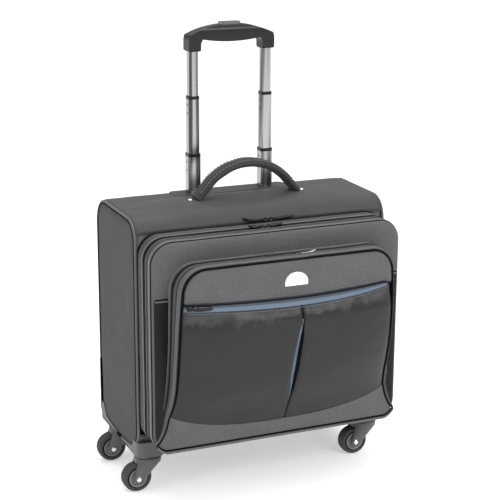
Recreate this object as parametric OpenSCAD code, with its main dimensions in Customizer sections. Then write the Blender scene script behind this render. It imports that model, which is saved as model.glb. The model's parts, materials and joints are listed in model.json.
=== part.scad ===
// Pilot rolling flight case: a soft case on four swivel casters with a telescopic trolley handle.
// X runs across the case, Y from front to back, Z up. The origin is on the floor, at the middle of
// the rectangle that the four swivel axes make.

/* [Case] */
// Width over the two side panels
case_w = 428; // [360:1:520]
// Depth of the main compartment, from its front edge to the back panel
case_d = 186; // [160:1:240]
// Height of the case top above the floor
case_top = 447; // [380:1:560]
// Height of the case underside above the floor
case_bottom = 63; // [62:0.5:70]
// Thickness of the padded panels
panel_t = 4; // [3:0.5:5]
// Thickness of the board that stiffens the bottom
board_t = 3.2; // [2:0.2:5]
// Radius of the welt around each side panel
welt_r = 2.2; // [1.5:0.1:3]

/* [Front compartments] */
// Width of the organizer
organizer_w = 421; // [340:1:480]
// Depth of the organizer
organizer_d = 63; // [50:1:80]
// Height of the organizer's lower edge above the floor
organizer_bottom = 94; // [88:1:110]
// Distance of the organizer's upper edge below the case top
organizer_drop = 19; // [15:1:30]
// Depth of the part of the organizer that swings open
lid_d = 28; // [20:1:34]
// Depth of the front pocket
pocket_d = 47; // [30:1:60]
// Width of the front pocket at its upper half
pocket_w = 358; // [280:1:380]
// How much wider the front pocket is at its lower edge
pocket_flare = 54; // [0:1:60]
// Distance of the pocket's upper edge below the organizer's
pocket_drop = 35; // [25:1:60]
// Depth of the pocket's gusset behind its zip
pocket_gusset_d = 24; // [10:1:26]
// Thickness of the front panels
cover_t = 3; // [2:0.5:4]
// Gap between panels that open
seam = 0.5; // [0.3:0.1:1]

/* [Casters] */
// Distance of the swivel axes in from the side panels' outer faces
side_inset = 19; // [17:0.5:24]
// Distance of the front swivel axes behind the main compartment's front edge
front_inset = 11.5; // [8:0.5:14]
// Distance of the rear swivel axes in front of the back panel's outer face
rear_inset = 43.5; // [34:0.5:52]
// Wheel diameter
wheel_d = 48; // [40:1:49]
// Wheel width
wheel_w = 22; // [16:1:24]
// Distance of the axle from the swivel axis
trail = 20; // [12:1:22]
// Radius of the fork's dome
dome_r = 21.8; // [18:0.2:22]
// Thickness of a fork cheek
cheek_t = 3.6; // [2.5:0.1:5]
// Diameter of the wheel axle
axle_d = 5; // [4:0.5:6]
// Diameter of the swivel pin
pin_d = 8; // [6:0.5:10]
// Thickness of the corner cups
cup_t = 3; // [2:0.5:4]
// Length of the corner cups along X
cup_l = 46; // [45:1:60]
// Length of the corner cups along Y
cup_run = 84; // [72:1:88]

/* [Trolley handle] */
// Distance between the two legs
leg_span = 128.2; // [110:0.2:160]
// Distance of the legs from the back panel's outer face
leg_inset = 44.7; // [36:0.1:50]
// Outer size of the top tube
tube = 15.7; // [13:0.1:18]
// Wall of the tubes
tube_wall = 1; // [0.8:0.1:1.4]
// Gap between a tube and the tube around it
tube_gap = 0.3; // [0.2:0.05:0.4]
// Length of the lowest moving tube that shows, with the handle as drawn
show_1 = 65.6; // [30:0.2:120]
// Length of the middle moving tube that shows
show_2 = 94.6; // [30:0.2:120]
// Length of the top tube that shows
show_3 = 72.4; // [30:0.2:120]
// Length of a moving tube that still shows when the handle is pushed in
stub = 6; // [5:0.5:12]
// Height of the bezel above the case top
bezel_h = 5; // [4:0.5:10]
// Height of the collar at the top of a tube
collar_h = 5; // [3:0.5:8]
// Size of the grip from front to back
grip_d = 26; // [22:1:34]
// Height of the grip over its sleeves
grip_h = 42.4; // [41:0.2:50]
// Width and depth of a sleeve
sleeve = 20.8; // [20.2:0.2:24]
// Length of the release button
button_l = 38; // [30:1:44]
// Width of the release button
button_w = 15; // [12:0.5:16]
// Travel of the release button
button_travel = 3; // [2:0.5:4]

/* [Carry handle] */
// Distance between the two ends of the carry handle
carry_span = 160; // [130:1:180]
// Height of the carry handle's middle line above its ends
carry_rise = 36; // [28:1:60]
// Width of the strap from front to back
carry_w = 33; // [26:1:38]
// Thickness of the padded strap
carry_t = 15; // [10:1:18]
// Distance of the carry handle behind the main compartment's front edge
carry_y = 65.7; // [50:0.1:80]

/* [Fits] */
// Radial clearance of pins and axles in their bores
running = 0.05; // [0.02:0.01:0.1]
// Gap around pieces that slide or turn beside each other
gap = 0.4; // [0.3:0.05:0.6]

/* [Hidden] */
$fn = 64;

// Case: the places of its faces and the radii of its outline, seen from the side
wheelbase_x = case_w - 2 * side_inset;
wheelbase_y = case_d - front_inset - rear_inset;
front_y = -wheelbase_y / 2 - front_inset;
back_y = front_y + case_d;
case_radii = [45, 22, 40, 32];
opening_bottom = case_bottom + 37;
opening_top = case_top - 22;
cup_rise = 26;
rear_cup_rise = 30;
back_seam_bottom = case_bottom - cup_t + rear_cup_rise + 3;
back_seam_top = case_top - case_radii[2];
board_top = case_bottom + panel_t + board_t;

// Front compartments
organizer_top = case_top - organizer_drop;
organizer_radii = [28, 28, 34, 34];
flap_y = front_y - seam;
lid_y = flap_y - organizer_d + lid_d;
organizer_y = flap_y - organizer_d;
pocket_top = organizer_top - pocket_drop;
pocket_bottom = organizer_bottom + 3;
pocket_r = 38;
pocket_zip_y = organizer_y - pocket_gusset_d;
pocket_y = organizer_y - pocket_d;
pocket_zip_end = organizer_bottom + 76;
pocket_zip_rake = 0.4;
pocket_knee = pocket_bottom + 0.62 * (pocket_top - pocket_bottom);
pocket_ankle = pocket_bottom + 42;
badge_r = 19.5;
badge_x = 6;

// Casters
axle_z = wheel_d / 2;
cup_bottom = case_bottom - cup_t;
dome_top = cup_bottom - 0.6;
tyre_gap = 1.5;
fork_in = wheel_w + 2;
fork_out = fork_in + 2 * cheek_t;
hub_boss_r = 7.5;
hub_r = wheel_d / 2 - 7;
pin_head_h = 1.4;
pin_head_d = pin_d + 4;
pin_foot = wheel_d + tyre_gap + 0.2;
pin_washer_h = 4;
axle_head_d = axle_d + 3.2;
screw_d = 4;
screw_head_d = 7;
screw_head_h = 1.8;
screw_spots = [[-12, 32], [14, 32]];
cup_r = 12;
cup_lip = 7;

// Trolley handle: outer sizes of the tubes, from the fixed one up, and the heights of their ends
leg_y = back_y - leg_inset;
sizes = [for (k = [3:-1:0]) tube + 2 * k * (tube_wall + tube_gap)];
lining_y = leg_y - sizes[0] / 2 - 3;
bezel_top = case_top + bezel_h;
tops = [bezel_top, bezel_top + show_1, bezel_top + show_1 + show_2,
        bezel_top + show_1 + show_2 + show_3];
bracket_t = 4.8;
bracket_floor = board_top + bracket_t;
glide_h = 14;
plug_h = 12;
rest_gap = 2;
last_stub = 1;
foot_1 = bracket_floor + rest_gap + show_1 - stub;
foot_2 = foot_1 + glide_h + plug_h + rest_gap + show_2 - stub;
foot_3 = foot_2 + glide_h + plug_h + rest_gap + show_3 - last_stub;
feet = [bracket_floor, foot_1, foot_2, foot_3];
sleeve_z = tops[3];
grip_top = sleeve_z + grip_h;
grip_w = leg_span + sleeve;
button_rise = 2.6;
rod_d = 4;
rod_bar_h = 3.5;
rod_bar_w = 6;
channel_w = rod_bar_w + 2;
bar_z = grip_top - 19.5;
spring_wire_r = 0.4;
spring_r = 2.6;
spring_turns = 2;
cavity_z = bar_z - button_travel - 2 * spring_wire_r * (spring_turns + 1) - 0.2;
socket_top = sleeve_z + 15;
button_z = bar_z + rod_bar_h;
grip_split = button_z + 0.6;
lock_d = 5;
lock_travel = 3;
lock_z = foot_3 + glide_h / 2;
lock_l = tube / 2;
rod_foot = lock_z + lock_d / 2 + button_travel + 0.5;

// Carry handle: the hinge line and the circle of the arch
strap_y = front_y + carry_y;
strap_hinge_z = case_top + 21;
arch_r = (pow(carry_span / 2, 2) + pow(carry_rise, 2)) / (2 * carry_rise);
arch_z = strap_hinge_z + carry_rise - arch_r;
anchor_t = 3;
anchor_l = 50;
rivet_d = 4;
rivet_x = carry_span / 2 + 24;
rivet_spread = 18;

// Zip sliders, and the places where each pair meets
slider_l = 11;
slider_w = 5;
slider_h = 4.4;
long_pull = 34;
short_pull = 20;
main_zip = [9, flap_y + 0.2, organizer_top + 1.4];
organizer_zip = [-12, lid_y, organizer_top + gap];
pocket_zip = [9, pocket_zip_y, pocket_top + gap];
front_zip = [-pocket_w / 2 + 6, pocket_y - gap, organizer_bottom + 246];

// Colours
charcoal = [0.36, 0.36, 0.37];
dark = [0.25, 0.25, 0.26];
plastic = [0.2, 0.2, 0.21];
lining = [0.3, 0.31, 0.34];
metal = [0.78, 0.78, 0.8];
rubber = [0.3, 0.3, 0.31];
blue = [0.36, 0.47, 0.6];

// A rectangle with its own radius at each corner: lower left, lower right, upper right, upper left
module corner_box(x0, y0, x1, y1, r) {
    difference() {
        translate([x0, y0]) square([x1 - x0, y1 - y0]);
        if (r[0] > 0) translate([x0, y0]) outside_corner(r[0]);
        if (r[1] > 0) translate([x1, y0]) mirror([1, 0]) outside_corner(r[1]);
        if (r[2] > 0) translate([x1, y1]) rotate(180) outside_corner(r[2]);
        if (r[3] > 0) translate([x0, y1]) mirror([0, 1]) outside_corner(r[3]);
    }
}

module outside_corner(r) {
    difference() {
        translate([-1, -1]) square(r + 1);
        translate([r, r]) circle(r);
    }
}

// Extrude an outline drawn in (y, z) along X, or one drawn in (x, z) along Y
module along_x(x0, x1) {
    translate([x0, 0, 0]) rotate([90, 0, 90]) linear_extrude(x1 - x0) children();
}

module along_y(y0, y1) {
    translate([0, y1, 0]) rotate([90, 0, 0]) linear_extrude(y1 - y0) children();
}

module both_sides() {
    children();
    mirror([1, 0, 0]) children();
}

module both_legs() {
    for (side = [-1, 1]) translate([side * leg_span / 2, leg_y, 0]) children();
}

// Square tube with rounded edges
module square_bar(size, z0, z1, r = 3) {
    translate([0, 0, z0]) linear_extrude(z1 - z0)
        corner_box(-size / 2, -size / 2, size / 2, size / 2, [r, r, r, r]);
}

module square_tube(outer, inner, z0, z1) {
    difference() {
        square_bar(outer, z0, z1, 3);
        square_bar(inner, z0 - 1, z1 + 1, 2);
    }
}

// ---- Case ----

module case_outline(inset = 0) {
    corner_box(front_y + inset, case_bottom + inset, back_y - inset, case_top - inset,
               [for (r = case_radii) r - inset]);
}

module case_solid() {
    along_x(-case_w / 2, case_w / 2) case_outline();
}

// The wall between the side panels, seen from the side, without the front opening
module case_wall() {
    difference() {
        case_outline();
        case_outline(panel_t);
        translate([front_y - 1, opening_bottom]) square([case_d / 3, opening_top - opening_bottom]);
    }
}

// The stretch of that wall inside a rectangle in (y, z)
module wall_part(y0, z0, y1, z1) {
    along_x(-case_w / 2 + panel_t, case_w / 2 - panel_t) intersection() {
        case_wall();
        translate([y0, z0]) square([y1 - y0, z1 - z0]);
    }
}

module side_panel() {
    along_x(case_w / 2 - panel_t, case_w / 2) case_outline();
}

module left_side_panel() {
    color(charcoal) mirror([1, 0, 0]) side_panel();
}

module right_side_panel() {
    color(charcoal) side_panel();
}

module top_panel() {
    color(charcoal) difference() {
        wall_part(front_y - 1, back_seam_top, back_y + 1, case_top + 1);
        both_legs() square_bar(sizes[0] + 2 * gap, case_top - 30, case_top + 1);
        rivet_spots() cylinder(d = rivet_d + 2 * running, h = 60, center = true);
    }
}

module back_panel() {
    color(charcoal) wall_part(0, back_seam_bottom, back_y + 1, back_seam_top);
}

module bottom_panel() {
    color(charcoal) difference() {
        union() {
            wall_part(front_y - 1, case_bottom - 1, 0, opening_bottom + 1);
            wall_part(0, case_bottom - 1, back_y + 1, back_seam_bottom);
        }
        pin_holes();
        screw_holes();
    }
}

module base_board() {
    color("tan") difference() {
        along_x(-case_w / 2 + panel_t, case_w / 2 - panel_t) intersection() {
            case_outline(panel_t);
            translate([front_y, case_bottom]) square([case_d, board_top - case_bottom]);
        }
        pin_holes();
        screw_holes();
    }
}

// The lining that hides the trolley tubes from the main compartment
module inner_lining() {
    color(lining) translate([-case_w / 2 + panel_t, lining_y - cover_t, board_top])
        cube([case_w - 2 * panel_t, cover_t, case_top - panel_t - board_top]);
}

// A closed round welt that follows the side outline
module welt_ring() {
    r = case_radii;
    z0 = case_bottom;
    z1 = case_top;
    corners = [[front_y + r[0], z0 + r[0], r[0], 180], [back_y - r[1], z0 + r[1], r[1], 270],
               [back_y - r[2], z1 - r[2], r[2], 0], [front_y + r[3], z1 - r[3], r[3], 90]];
    rotate([90, 0, 90]) {
        for (c = corners) translate([c[0], c[1], 0]) rotate([0, 0, c[3]])
            rotate_extrude(angle = 90) translate([c[2], 0]) circle(welt_r, $fn = 32);
        welt_run([front_y + r[0], z0], [back_y - r[1], z0]);
        welt_run([back_y, z0 + r[1]], [back_y, z1 - r[2]]);
        welt_run([back_y - r[2], z1], [front_y + r[3], z1]);
        welt_run([front_y, z1 - r[3]], [front_y, z0 + r[0]]);
    }
}

module welt_run(a, b) {
    d = b - a;
    translate([a[0], a[1], 0]) rotate([0, 0, atan2(d[1], d[0])]) rotate([0, 90, 0])
        cylinder(r = welt_r, h = norm(d), $fn = 32);
}

module side_piping() {
    color(dark) difference() {
        both_sides() translate([case_w / 2, 0, 0]) welt_ring();
        case_solid();
        cup_blocks();
    }
}

// ---- Corner cups, pins and screws ----

// Put children at each swivel axis, with +X and +Y pointing to the middle of the case
module each_corner() {
    for (sx = [-1, 1], sy = [-1, 1])
        translate([sx * wheelbase_x / 2, sy * wheelbase_y / 2, 0])
            mirror([sx > 0 ? 1 : 0, 0, 0]) mirror([0, sy > 0 ? 1 : 0, 0]) children();
}

module pin_holes() {
    each_corner() translate([0, 0, cup_bottom - 1])
        cylinder(d = pin_d + 2 * running, h = board_top - cup_bottom + 2);
}

module screw_places() {
    each_corner() for (s = screw_spots) translate([s[0], s[1], cup_bottom]) children();
}

module screw_holes() {
    screw_places() cylinder(d = screw_d + 2 * running, h = 40, center = true);
}

// Side view of a corner cup: u runs from the end of the case to its middle
module cup_outline(rise) {
    polygon([[-cup_lip, cup_bottom], [cup_run, cup_bottom], [cup_run, case_bottom + 2],
             [cup_run - 40, case_bottom + 6], [26, case_bottom + 9], [14, cup_bottom + rise],
             [-cup_lip, cup_bottom + rise]]);
}

// A corner cup as a full block with round edges, which the case then cuts out
module cup_block(rise) {
    x1 = case_w / 2 + cup_t;
    intersection() {
        along_x(x1 - cup_l, x1) cup_outline(rise);
        linear_extrude(case_top)
            corner_box(x1 - cup_l, -cup_lip, x1, cup_run + 1, [cup_r, cup_r, 0, 0]);
    }
}

module cup_blocks() {
    both_sides() {
        translate([0, front_y, 0]) cup_block(cup_rise);
        translate([0, back_y, 0]) mirror([0, 1, 0]) cup_block(rear_cup_rise);
    }
}

module corner_cups() {
    color(plastic) difference() {
        cup_blocks();
        case_solid();
        pin_holes();
        screw_holes();
    }
}

module cup_screws() {
    color(metal) screw_places() {
        translate([0, 0, -screw_head_h]) cylinder(d = screw_head_d, h = screw_head_h);
        cylinder(d = screw_d, h = board_top - cup_bottom - 1);
    }
}

// The pins hold the forks; their upper ends are spread over a washer above the board
module swivel_pins() {
    color(metal) for (sx = [-1, 1], sy = [-1, 1]) at_caster(sx, sy) {
        translate([0, 0, pin_foot]) cylinder(d = pin_head_d, h = pin_head_h);
        translate([0, 0, pin_foot]) cylinder(d = pin_d, h = board_top - pin_foot);
        if (sy > 0) translate([0, 0, board_top]) cylinder(d = pin_head_d + 2, h = pin_washer_h);
    }
}

// ---- Casters ----

module at_caster(sx, sy) {
    translate([sx * wheelbase_x / 2, sy * wheelbase_y / 2, 0]) children();
}

module across_axle(d, l) {
    translate([-trail, 0, axle_z]) rotate([90, 0, 0]) cylinder(d = d, h = l, center = true);
}

// Put children on the outer faces of the cheeks, with +Z pointing away from the wheel
module axle_ends() {
    for (side = [-1, 1]) translate([-trail, side * fork_out / 2, axle_z])
        rotate([-side * 90, 0, 0]) children();
}

module fork() {
    dome_foot = dome_top - 9;
    color(plastic) difference() {
        union() {
            hull() {
                translate([0, 0, dome_foot]) cylinder(r = dome_r, h = 5, $fn = 48);
                translate([-trail, 0, axle_z]) rotate([90, 0, 0])
                    cylinder(r = hub_boss_r, h = fork_out, center = true, $fn = 32);
            }
            translate([0, 0, dome_foot + 5]) cylinder(r = dome_r, h = 1.5);
            translate([0, 0, dome_foot + 6.5]) cylinder(r1 = dome_r, r2 = dome_r - 2.5, h = 2.5);
        }
        across_axle(wheel_d + 2 * tyre_gap, fork_in);
        across_axle(axle_d + 2 * running, fork_out + 2);
        axle_ends() cylinder(d = axle_head_d + 2 * gap, h = 9);
        cylinder(d = pin_d + 2 * running, h = dome_top + 1);
        cylinder(d = pin_head_d + 2 * gap, h = pin_foot + pin_head_h + gap);
    }
}

module axle() {
    color(metal) {
        across_axle(axle_d, fork_out);
        axle_ends() {
            cylinder(d = axle_head_d, h = 0.8);
            translate([0, 0, 0.8]) cylinder(d1 = axle_head_d, d2 = axle_d + 0.4, h = 1);
        }
    }
}

module around_axle() {
    translate([-trail, 0, axle_z]) rotate([90, 0, 0]) rotate_extrude() children();
}

module hub() {
    half = wheel_w / 2;
    color(rubber) around_axle() polygon([
        [axle_d / 2 + running, -half], [hub_boss_r, -half], [hub_boss_r, -half + 1.2],
        [hub_r - 4.5, -half + 1.2], [hub_r - 4, -half + 0.4], [hub_r - 1.2, -half + 0.4],
        [hub_r - 1.2, -half + 3], [hub_r, -half + 3], [hub_r, half - 3], [hub_r - 1.2, half - 3],
        [hub_r - 1.2, half - 0.4], [hub_r - 4, half - 0.4], [hub_r - 4.5, half - 1.2],
        [hub_boss_r, half - 1.2], [hub_boss_r, half], [axle_d / 2 + running, half]]);
}

module tyre() {
    half = wheel_w / 2;
    r = wheel_d / 2;
    color(rubber) around_axle() polygon([
        [hub_r, -half + 0.6], [hub_r + 1.6, -half], [r - 3.2, -half + 0.8], [r - 1.1, -half + 3.4],
        [r, -2.5], [r, 2.5], [r - 1.1, half - 3.4], [r - 3.2, half - 0.8], [hub_r + 1.6, half],
        [hub_r, half - 0.6]]);
}

// ---- Trolley handle ----

// Tube k of the handle, counted from the fixed one
module leg_tubes(k, z0, z1) {
    both_legs() square_tube(sizes[k], sizes[k] - 2 * tube_wall, z0, z1);
}

module base_tubes() {
    color(metal) leg_tubes(0, bracket_floor, bezel_top - 2);
}

module tube_bracket() {
    socket = sizes[0] + 6;
    color(plastic) difference() {
        union() {
            translate([-leg_span / 2 - socket / 2 - 6, leg_y - socket / 2, board_top])
                cube([leg_span + socket + 12, socket, bracket_t]);
            both_legs() square_bar(socket, bracket_floor, bracket_floor + 22);
        }
        both_legs() square_bar(sizes[0], bracket_floor, bracket_floor + 30);
    }
}

module handle_bezel() {
    half_l = leg_span / 2 + 38;
    half_d = sizes[0] / 2 + 7;
    color(plastic) difference() {
        translate([0, leg_y, case_top - 14]) linear_extrude(bezel_h + 14)
            corner_box(-half_l, -half_d, half_l, half_d, [10, 10, 10, 10]);
        case_solid();
        both_legs() square_bar(sizes[0] + 2 * gap, case_top - 20, bezel_top - 1.6);
        both_legs() square_bar(sizes[1] + 2 * gap, case_top, bezel_top + 1);
    }
}

// A tube with lock holes in its outer face, near its upper end and near its lower end
module moving_tubes(k) {
    z0 = feet[k] + glide_h;
    z1 = k < 3 ? tops[k] - collar_h : socket_top;
    color(metal) difference() {
        leg_tubes(k, z0, z1);
        if (k < 3) both_legs() for (z = [tops[k] - 14, tops[k] - 28, z0 + 24])
            translate([-sizes[k] / 2, 0, z]) rotate([0, 90, 0]) cylinder(d = 4, h = 6, center = true);
    }
}

module collars(k) {
    color(plastic) both_legs()
        square_tube(sizes[k], sizes[k + 1] + 2 * tube_gap, tops[k] - collar_h, tops[k]);
}

// The plug in a tube's lower end, with the skirt that guides it in the tube around it
module glides(k, hole = 0) {
    color(plastic) both_legs() difference() {
        union() {
            square_bar(sizes[k], feet[k], feet[k] + glide_h);
            square_bar(sizes[k] - 2 * tube_wall, feet[k] + glide_h, feet[k] + glide_h + plug_h, 2);
        }
        if (hole > 0) children();
    }
}

module stage_3_glides() {
    glides(3, 1) {
        translate([0, 0, lock_z]) cylinder(d = rod_d + 2 * gap, h = 60);
        translate([-tube / 2 - 1, 0, lock_z]) rotate([0, 90, 0])
            cylinder(d = lock_d + 2 * running, h = 1 + lock_l + lock_travel + 0.6);
    }
}

module lock_pins() {
    color(metal) both_legs() translate([-tube / 2, 0, lock_z]) rotate([0, 90, 0])
        cylinder(d = lock_d, h = lock_l);
}

module release_rods() {
    color(metal) {
        translate([-(leg_span + rod_bar_w) / 2, leg_y - rod_bar_w / 2, bar_z])
            cube([leg_span + rod_bar_w, rod_bar_w, rod_bar_h]);
        both_legs() translate([0, 0, rod_foot]) cylinder(d = rod_d, h = bar_z - rod_foot);
    }
}

// Front view of the grip: a crowned bar on two sleeves
module grip_outline() {
    crown_r = 168;
    belly_r = 280;
    half = grip_w / 2;
    inner = leg_span / 2 - sleeve / 2;
    difference() {
        intersection() {
            corner_box(-half, sleeve_z, half, grip_top, [2, 2, 26, 26]);
            translate([0, grip_top - crown_r]) circle(crown_r, $fn = 180);
        }
        difference() {
            corner_box(-inner, sleeve_z - 1, inner, grip_top - 19, [0, 0, 14, 14]);
            translate([0, grip_top - 28 + belly_r]) circle(belly_r, $fn = 240);
        }
    }
}

module grip_solid() {
    difference() {
        intersection() {
            along_y(leg_y - grip_d / 2, leg_y + grip_d / 2) grip_outline();
            along_x(-grip_w, grip_w) corner_box(leg_y - grip_d / 2, sleeve_z - 1, leg_y + grip_d / 2,
                                                grip_top + 1, [6, 6, 12, 12]);
        }
        both_legs() square_bar(tube, sleeve_z - 1, socket_top);
        translate([-(leg_span + rod_bar_w + 1) / 2, leg_y - channel_w / 2, cavity_z])
            cube([leg_span + rod_bar_w + 1, channel_w, grip_split - cavity_z]);
        both_legs() translate([0, 0, socket_top - 1])
            cylinder(d = channel_w, h = cavity_z - socket_top + 2);
        translate([0, leg_y, button_z - button_travel - gap]) linear_extrude(40) button_outline(gap);
    }
}

module button_outline(grow = 0) {
    r = button_w / 2 + grow;
    half = button_l / 2 - button_w / 2;
    square([2 * half, 2 * r], center = true);
    for (side = [-1, 1]) translate([side * half, 0]) circle(r);
}

module grip_lower() {
    color(plastic) intersection() {
        grip_solid();
        translate([-200, -200, 0]) cube([400, 600, grip_split]);
    }
}

module grip_upper() {
    color(plastic) intersection() {
        grip_solid();
        translate([-200, -200, grip_split]) cube([400, 600, 100]);
    }
}

module release_button() {
    color(metal) translate([0, leg_y, button_z]) linear_extrude(grip_top + button_rise - button_z)
        button_outline();
}

module button_spring() {
    z0 = cavity_z + spring_wire_r + 0.1;
    z1 = bar_z - spring_wire_r - 0.1;
    steps = spring_turns * 16;
    sides = 8;
    function ring(i) = [for (j = [0:sides - 1]) let (
            t = i / steps, a = 360 * spring_turns * t, b = 360 * j / sides,
            r = spring_r + spring_wire_r * cos(b))
        [r * cos(a), r * sin(a), z0 + (z1 - z0) * t + spring_wire_r * sin(b)]];
    points = [for (i = [0:steps]) each ring(i)];
    sides_faces = [for (i = [0:steps - 1], j = [0:sides - 1])
        [i * sides + j, (i + 1) * sides + j, (i + 1) * sides + (j + 1) % sides,
         i * sides + (j + 1) % sides]];
    first = [for (j = [0:sides - 1]) j];
    last = [for (j = [sides - 1:-1:0]) steps * sides + j];
    color(metal) translate([0, leg_y, 0])
        polyhedron(points, concat(sides_faces, [first], [last]));
}

// ---- Carry handle ----

module strap_ends() {
    for (side = [-1, 1]) translate([side * carry_span / 2, strap_y, strap_hinge_z])
        rotate([0, 90, 0]) cylinder(d = carry_w, h = carry_t + 7, center = true);
}

module carry_handle() {
    sweep = asin((carry_span / 2) / arch_r) + 12;
    color(charcoal) {
        intersection() {
            translate([0, strap_y, arch_z]) rotate([90, 0, 0]) rotate([0, 0, 90 - sweep])
                rotate_extrude(angle = 2 * sweep, $fn = 180)
                    corner_box(arch_r - carry_t / 2, -carry_w / 2, arch_r + carry_t / 2, carry_w / 2,
                               [5, 5, 5, 5]);
            translate([-carry_span, strap_y - carry_w, strap_hinge_z])
                cube([2 * carry_span, 2 * carry_w, 200]);
        }
        strap_ends();
    }
}

// The fixed tabs that the strap is sewn to
module handle_anchors() {
    x0 = carry_span / 2 - 16;
    color(charcoal) difference() {
        both_sides() {
            translate([x0, strap_y - carry_w / 2 - 1, case_top]) cube([anchor_l, carry_w + 2, anchor_t]);
            translate([x0, strap_y - carry_w / 2 - 1, case_top]) cube([32, carry_w + 2, 14]);
        }
        translate([0, strap_y, strap_hinge_z]) rotate([0, 90, 0])
            cylinder(r = carry_w / 2 + gap, h = 2 * carry_span, center = true);
        rivet_spots() cylinder(d = rivet_d + 2 * running, h = 60, center = true);
    }
}

module rivet_spots() {
    for (side = [-1, 1], row = [-1, 1])
        translate([side * rivet_x, strap_y + row * rivet_spread / 2, case_top]) children();
}

module anchor_rivets() {
    color(metal) rivet_spots() {
        translate([0, 0, -panel_t - 2]) cylinder(d = 9, h = 2);
        translate([0, 0, -panel_t - 1]) cylinder(d = rivet_d, h = panel_t + anchor_t + 1.5);
        translate([0, 0, anchor_t]) cylinder(d1 = 8, d2 = 5, h = 1.6);
    }
}

// ---- Front compartments ----

module organizer_outline(inset = 0) {
    half = organizer_w / 2 - inset;
    corner_box(-half, organizer_bottom + inset, half, organizer_top - inset,
               [for (r = organizer_radii) r - inset]);
}

module flap_panel() {
    color(lining) along_y(flap_y - cover_t, flap_y) organizer_outline();
}

module organizer_gusset() {
    color(charcoal) along_y(lid_y + seam / 2, flap_y - cover_t) difference() {
        organizer_outline();
        organizer_outline(cover_t);
    }
}

module organizer_panel() {
    color(charcoal) {
        along_y(organizer_y, organizer_y + cover_t) organizer_outline();
        along_y(organizer_y + cover_t, lid_y - seam / 2) difference() {
            organizer_outline();
            organizer_outline(cover_t);
        }
    }
}

// Front view of the pocket: straight sides above, wider below, with round upper corners
module pocket_outline(inset = 0) {
    half = pocket_w / 2 - inset;
    foot = (pocket_w + pocket_flare) / 2 - inset;
    z0 = pocket_bottom + inset;
    z1 = pocket_top - inset;
    flare = foot - half;
    corner_box(-half, pocket_knee, half, z1, [0, 0, pocket_r - inset, pocket_r - inset]);
    both_halves() polygon([[0, pocket_knee], [half, pocket_knee],
                           [half + 0.18 * flare, (pocket_knee + pocket_ankle) / 2],
                           [foot - 0.35 * flare, pocket_ankle + 28], [foot, pocket_ankle],
                           [foot - 6, pocket_ankle - 26], [foot - 20, z0], [0, z0]]);
}

module both_halves() {
    children();
    mirror([1, 0]) children();
}

// Side view of the pocket: full depth above, tapering to the organizer's lower edge
module pocket_profile(inset = 0) {
    y0 = organizer_y;
    z0 = pocket_bottom + inset;
    z1 = pocket_top - inset;
    full = pocket_d - inset;
    h = pocket_top - pocket_bottom;
    polygon([[y0, z0], [y0 - 0.06 * full, z0], [y0 - 0.2 * full, z0 + 0.14 * h],
             [y0 - 0.53 * full, z0 + 0.25 * h], [y0 - 0.76 * full, z0 + 0.35 * h],
             [y0 - 0.93 * full, z0 + 0.47 * h], [y0 - full, pocket_knee],
             [y0 - full, z1 - 5], [y0 - full + 5, z1], [y0, z1]]);
}

module pocket_solid(inset = 0) {
    intersection() {
        along_y(pocket_y - 1, organizer_y) pocket_outline(inset);
        along_x(-organizer_w, organizer_w) pocket_profile(inset);
    }
}

// The zip leaves the gusset behind this line, and the front before it
module pocket_split(shift) {
    y0 = organizer_y - pocket_zip_rake * pocket_gusset_d - shift;
    y1 = pocket_zip_y - shift;
    along_x(-organizer_w, organizer_w) polygon([
        [organizer_y + 1, pocket_zip_end - shift], [y0, pocket_zip_end - shift], [y1, pocket_top],
        [y1, pocket_top + 9], [organizer_y + 1, pocket_top + 9]]);
}

module pocket_shell() {
    difference() {
        pocket_solid();
        pocket_solid(cover_t);
    }
}

module pocket_gusset() {
    color(charcoal) intersection() {
        pocket_shell();
        pocket_split(-seam / 2);
    }
}

module pocket_front() {
    color(dark) difference() {
        pocket_shell();
        pocket_split(seam / 2);
        translate([-organizer_w, organizer_y - seam, 0]) cube([2 * organizer_w, 10, 600]);
    }
}

module badge() {
    color(metal) along_y(pocket_y - 1.6, pocket_y) translate([badge_x, pocket_top - 34])
        intersection() {
            circle(badge_r);
            translate([-badge_r, -3]) square([2 * badge_r, badge_r + 4]);
        }
}

// ---- Zip sliders: a body with a pull that lies along the zip ----

// The pull points to +X; the body is centred on the zip
module zip_slider(pull_l) {
    color(plastic) {
        translate([-slider_l, -slider_w / 2, 0]) cube([slider_l, slider_w, slider_h]);
        translate([0, -slider_w / 2 + 0.4, 1]) cube([pull_l - 3, slider_w - 0.8, 2.4]);
        translate([pull_l - 3, 0, 1]) cylinder(d = slider_w, h = 2.4);
    }
}

module slider_at(place, side, pull_l) {
    translate(place) mirror([side < 0 ? 1 : 0, 0, 0]) translate([slider_l + 2, 0, 0])
        zip_slider(pull_l);
}

module front_slider() {
    translate(front_zip) rotate([90, 0, 0]) translate([slider_l, 0, 0]) zip_slider(long_pull + 4);
}

left_side_panel();
right_side_panel();
top_panel();
back_panel();
bottom_panel();
side_piping();
base_board();
inner_lining();
base_tubes();
tube_bracket();
handle_bezel();
handle_anchors();
anchor_rivets();
corner_cups();
cup_screws();
swivel_pins();
at_caster(-1, -1) fork();  // fork_fl
at_caster(-1, -1) axle();  // axle_fl
at_caster(-1, -1) hub();  // hub_fl
at_caster(-1, -1) tyre();  // tyre_fl
at_caster(1, -1) fork();  // fork_fr
at_caster(1, -1) axle();  // axle_fr
at_caster(1, -1) hub();  // hub_fr
at_caster(1, -1) tyre();  // tyre_fr
at_caster(-1, 1) fork();  // fork_rl
at_caster(-1, 1) axle();  // axle_rl
at_caster(-1, 1) hub();  // hub_rl
at_caster(-1, 1) tyre();  // tyre_rl
at_caster(1, 1) fork();  // fork_rr
at_caster(1, 1) axle();  // axle_rr
at_caster(1, 1) hub();  // hub_rr
at_caster(1, 1) tyre();  // tyre_rr
moving_tubes(1);  // stage_1_tubes
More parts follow.
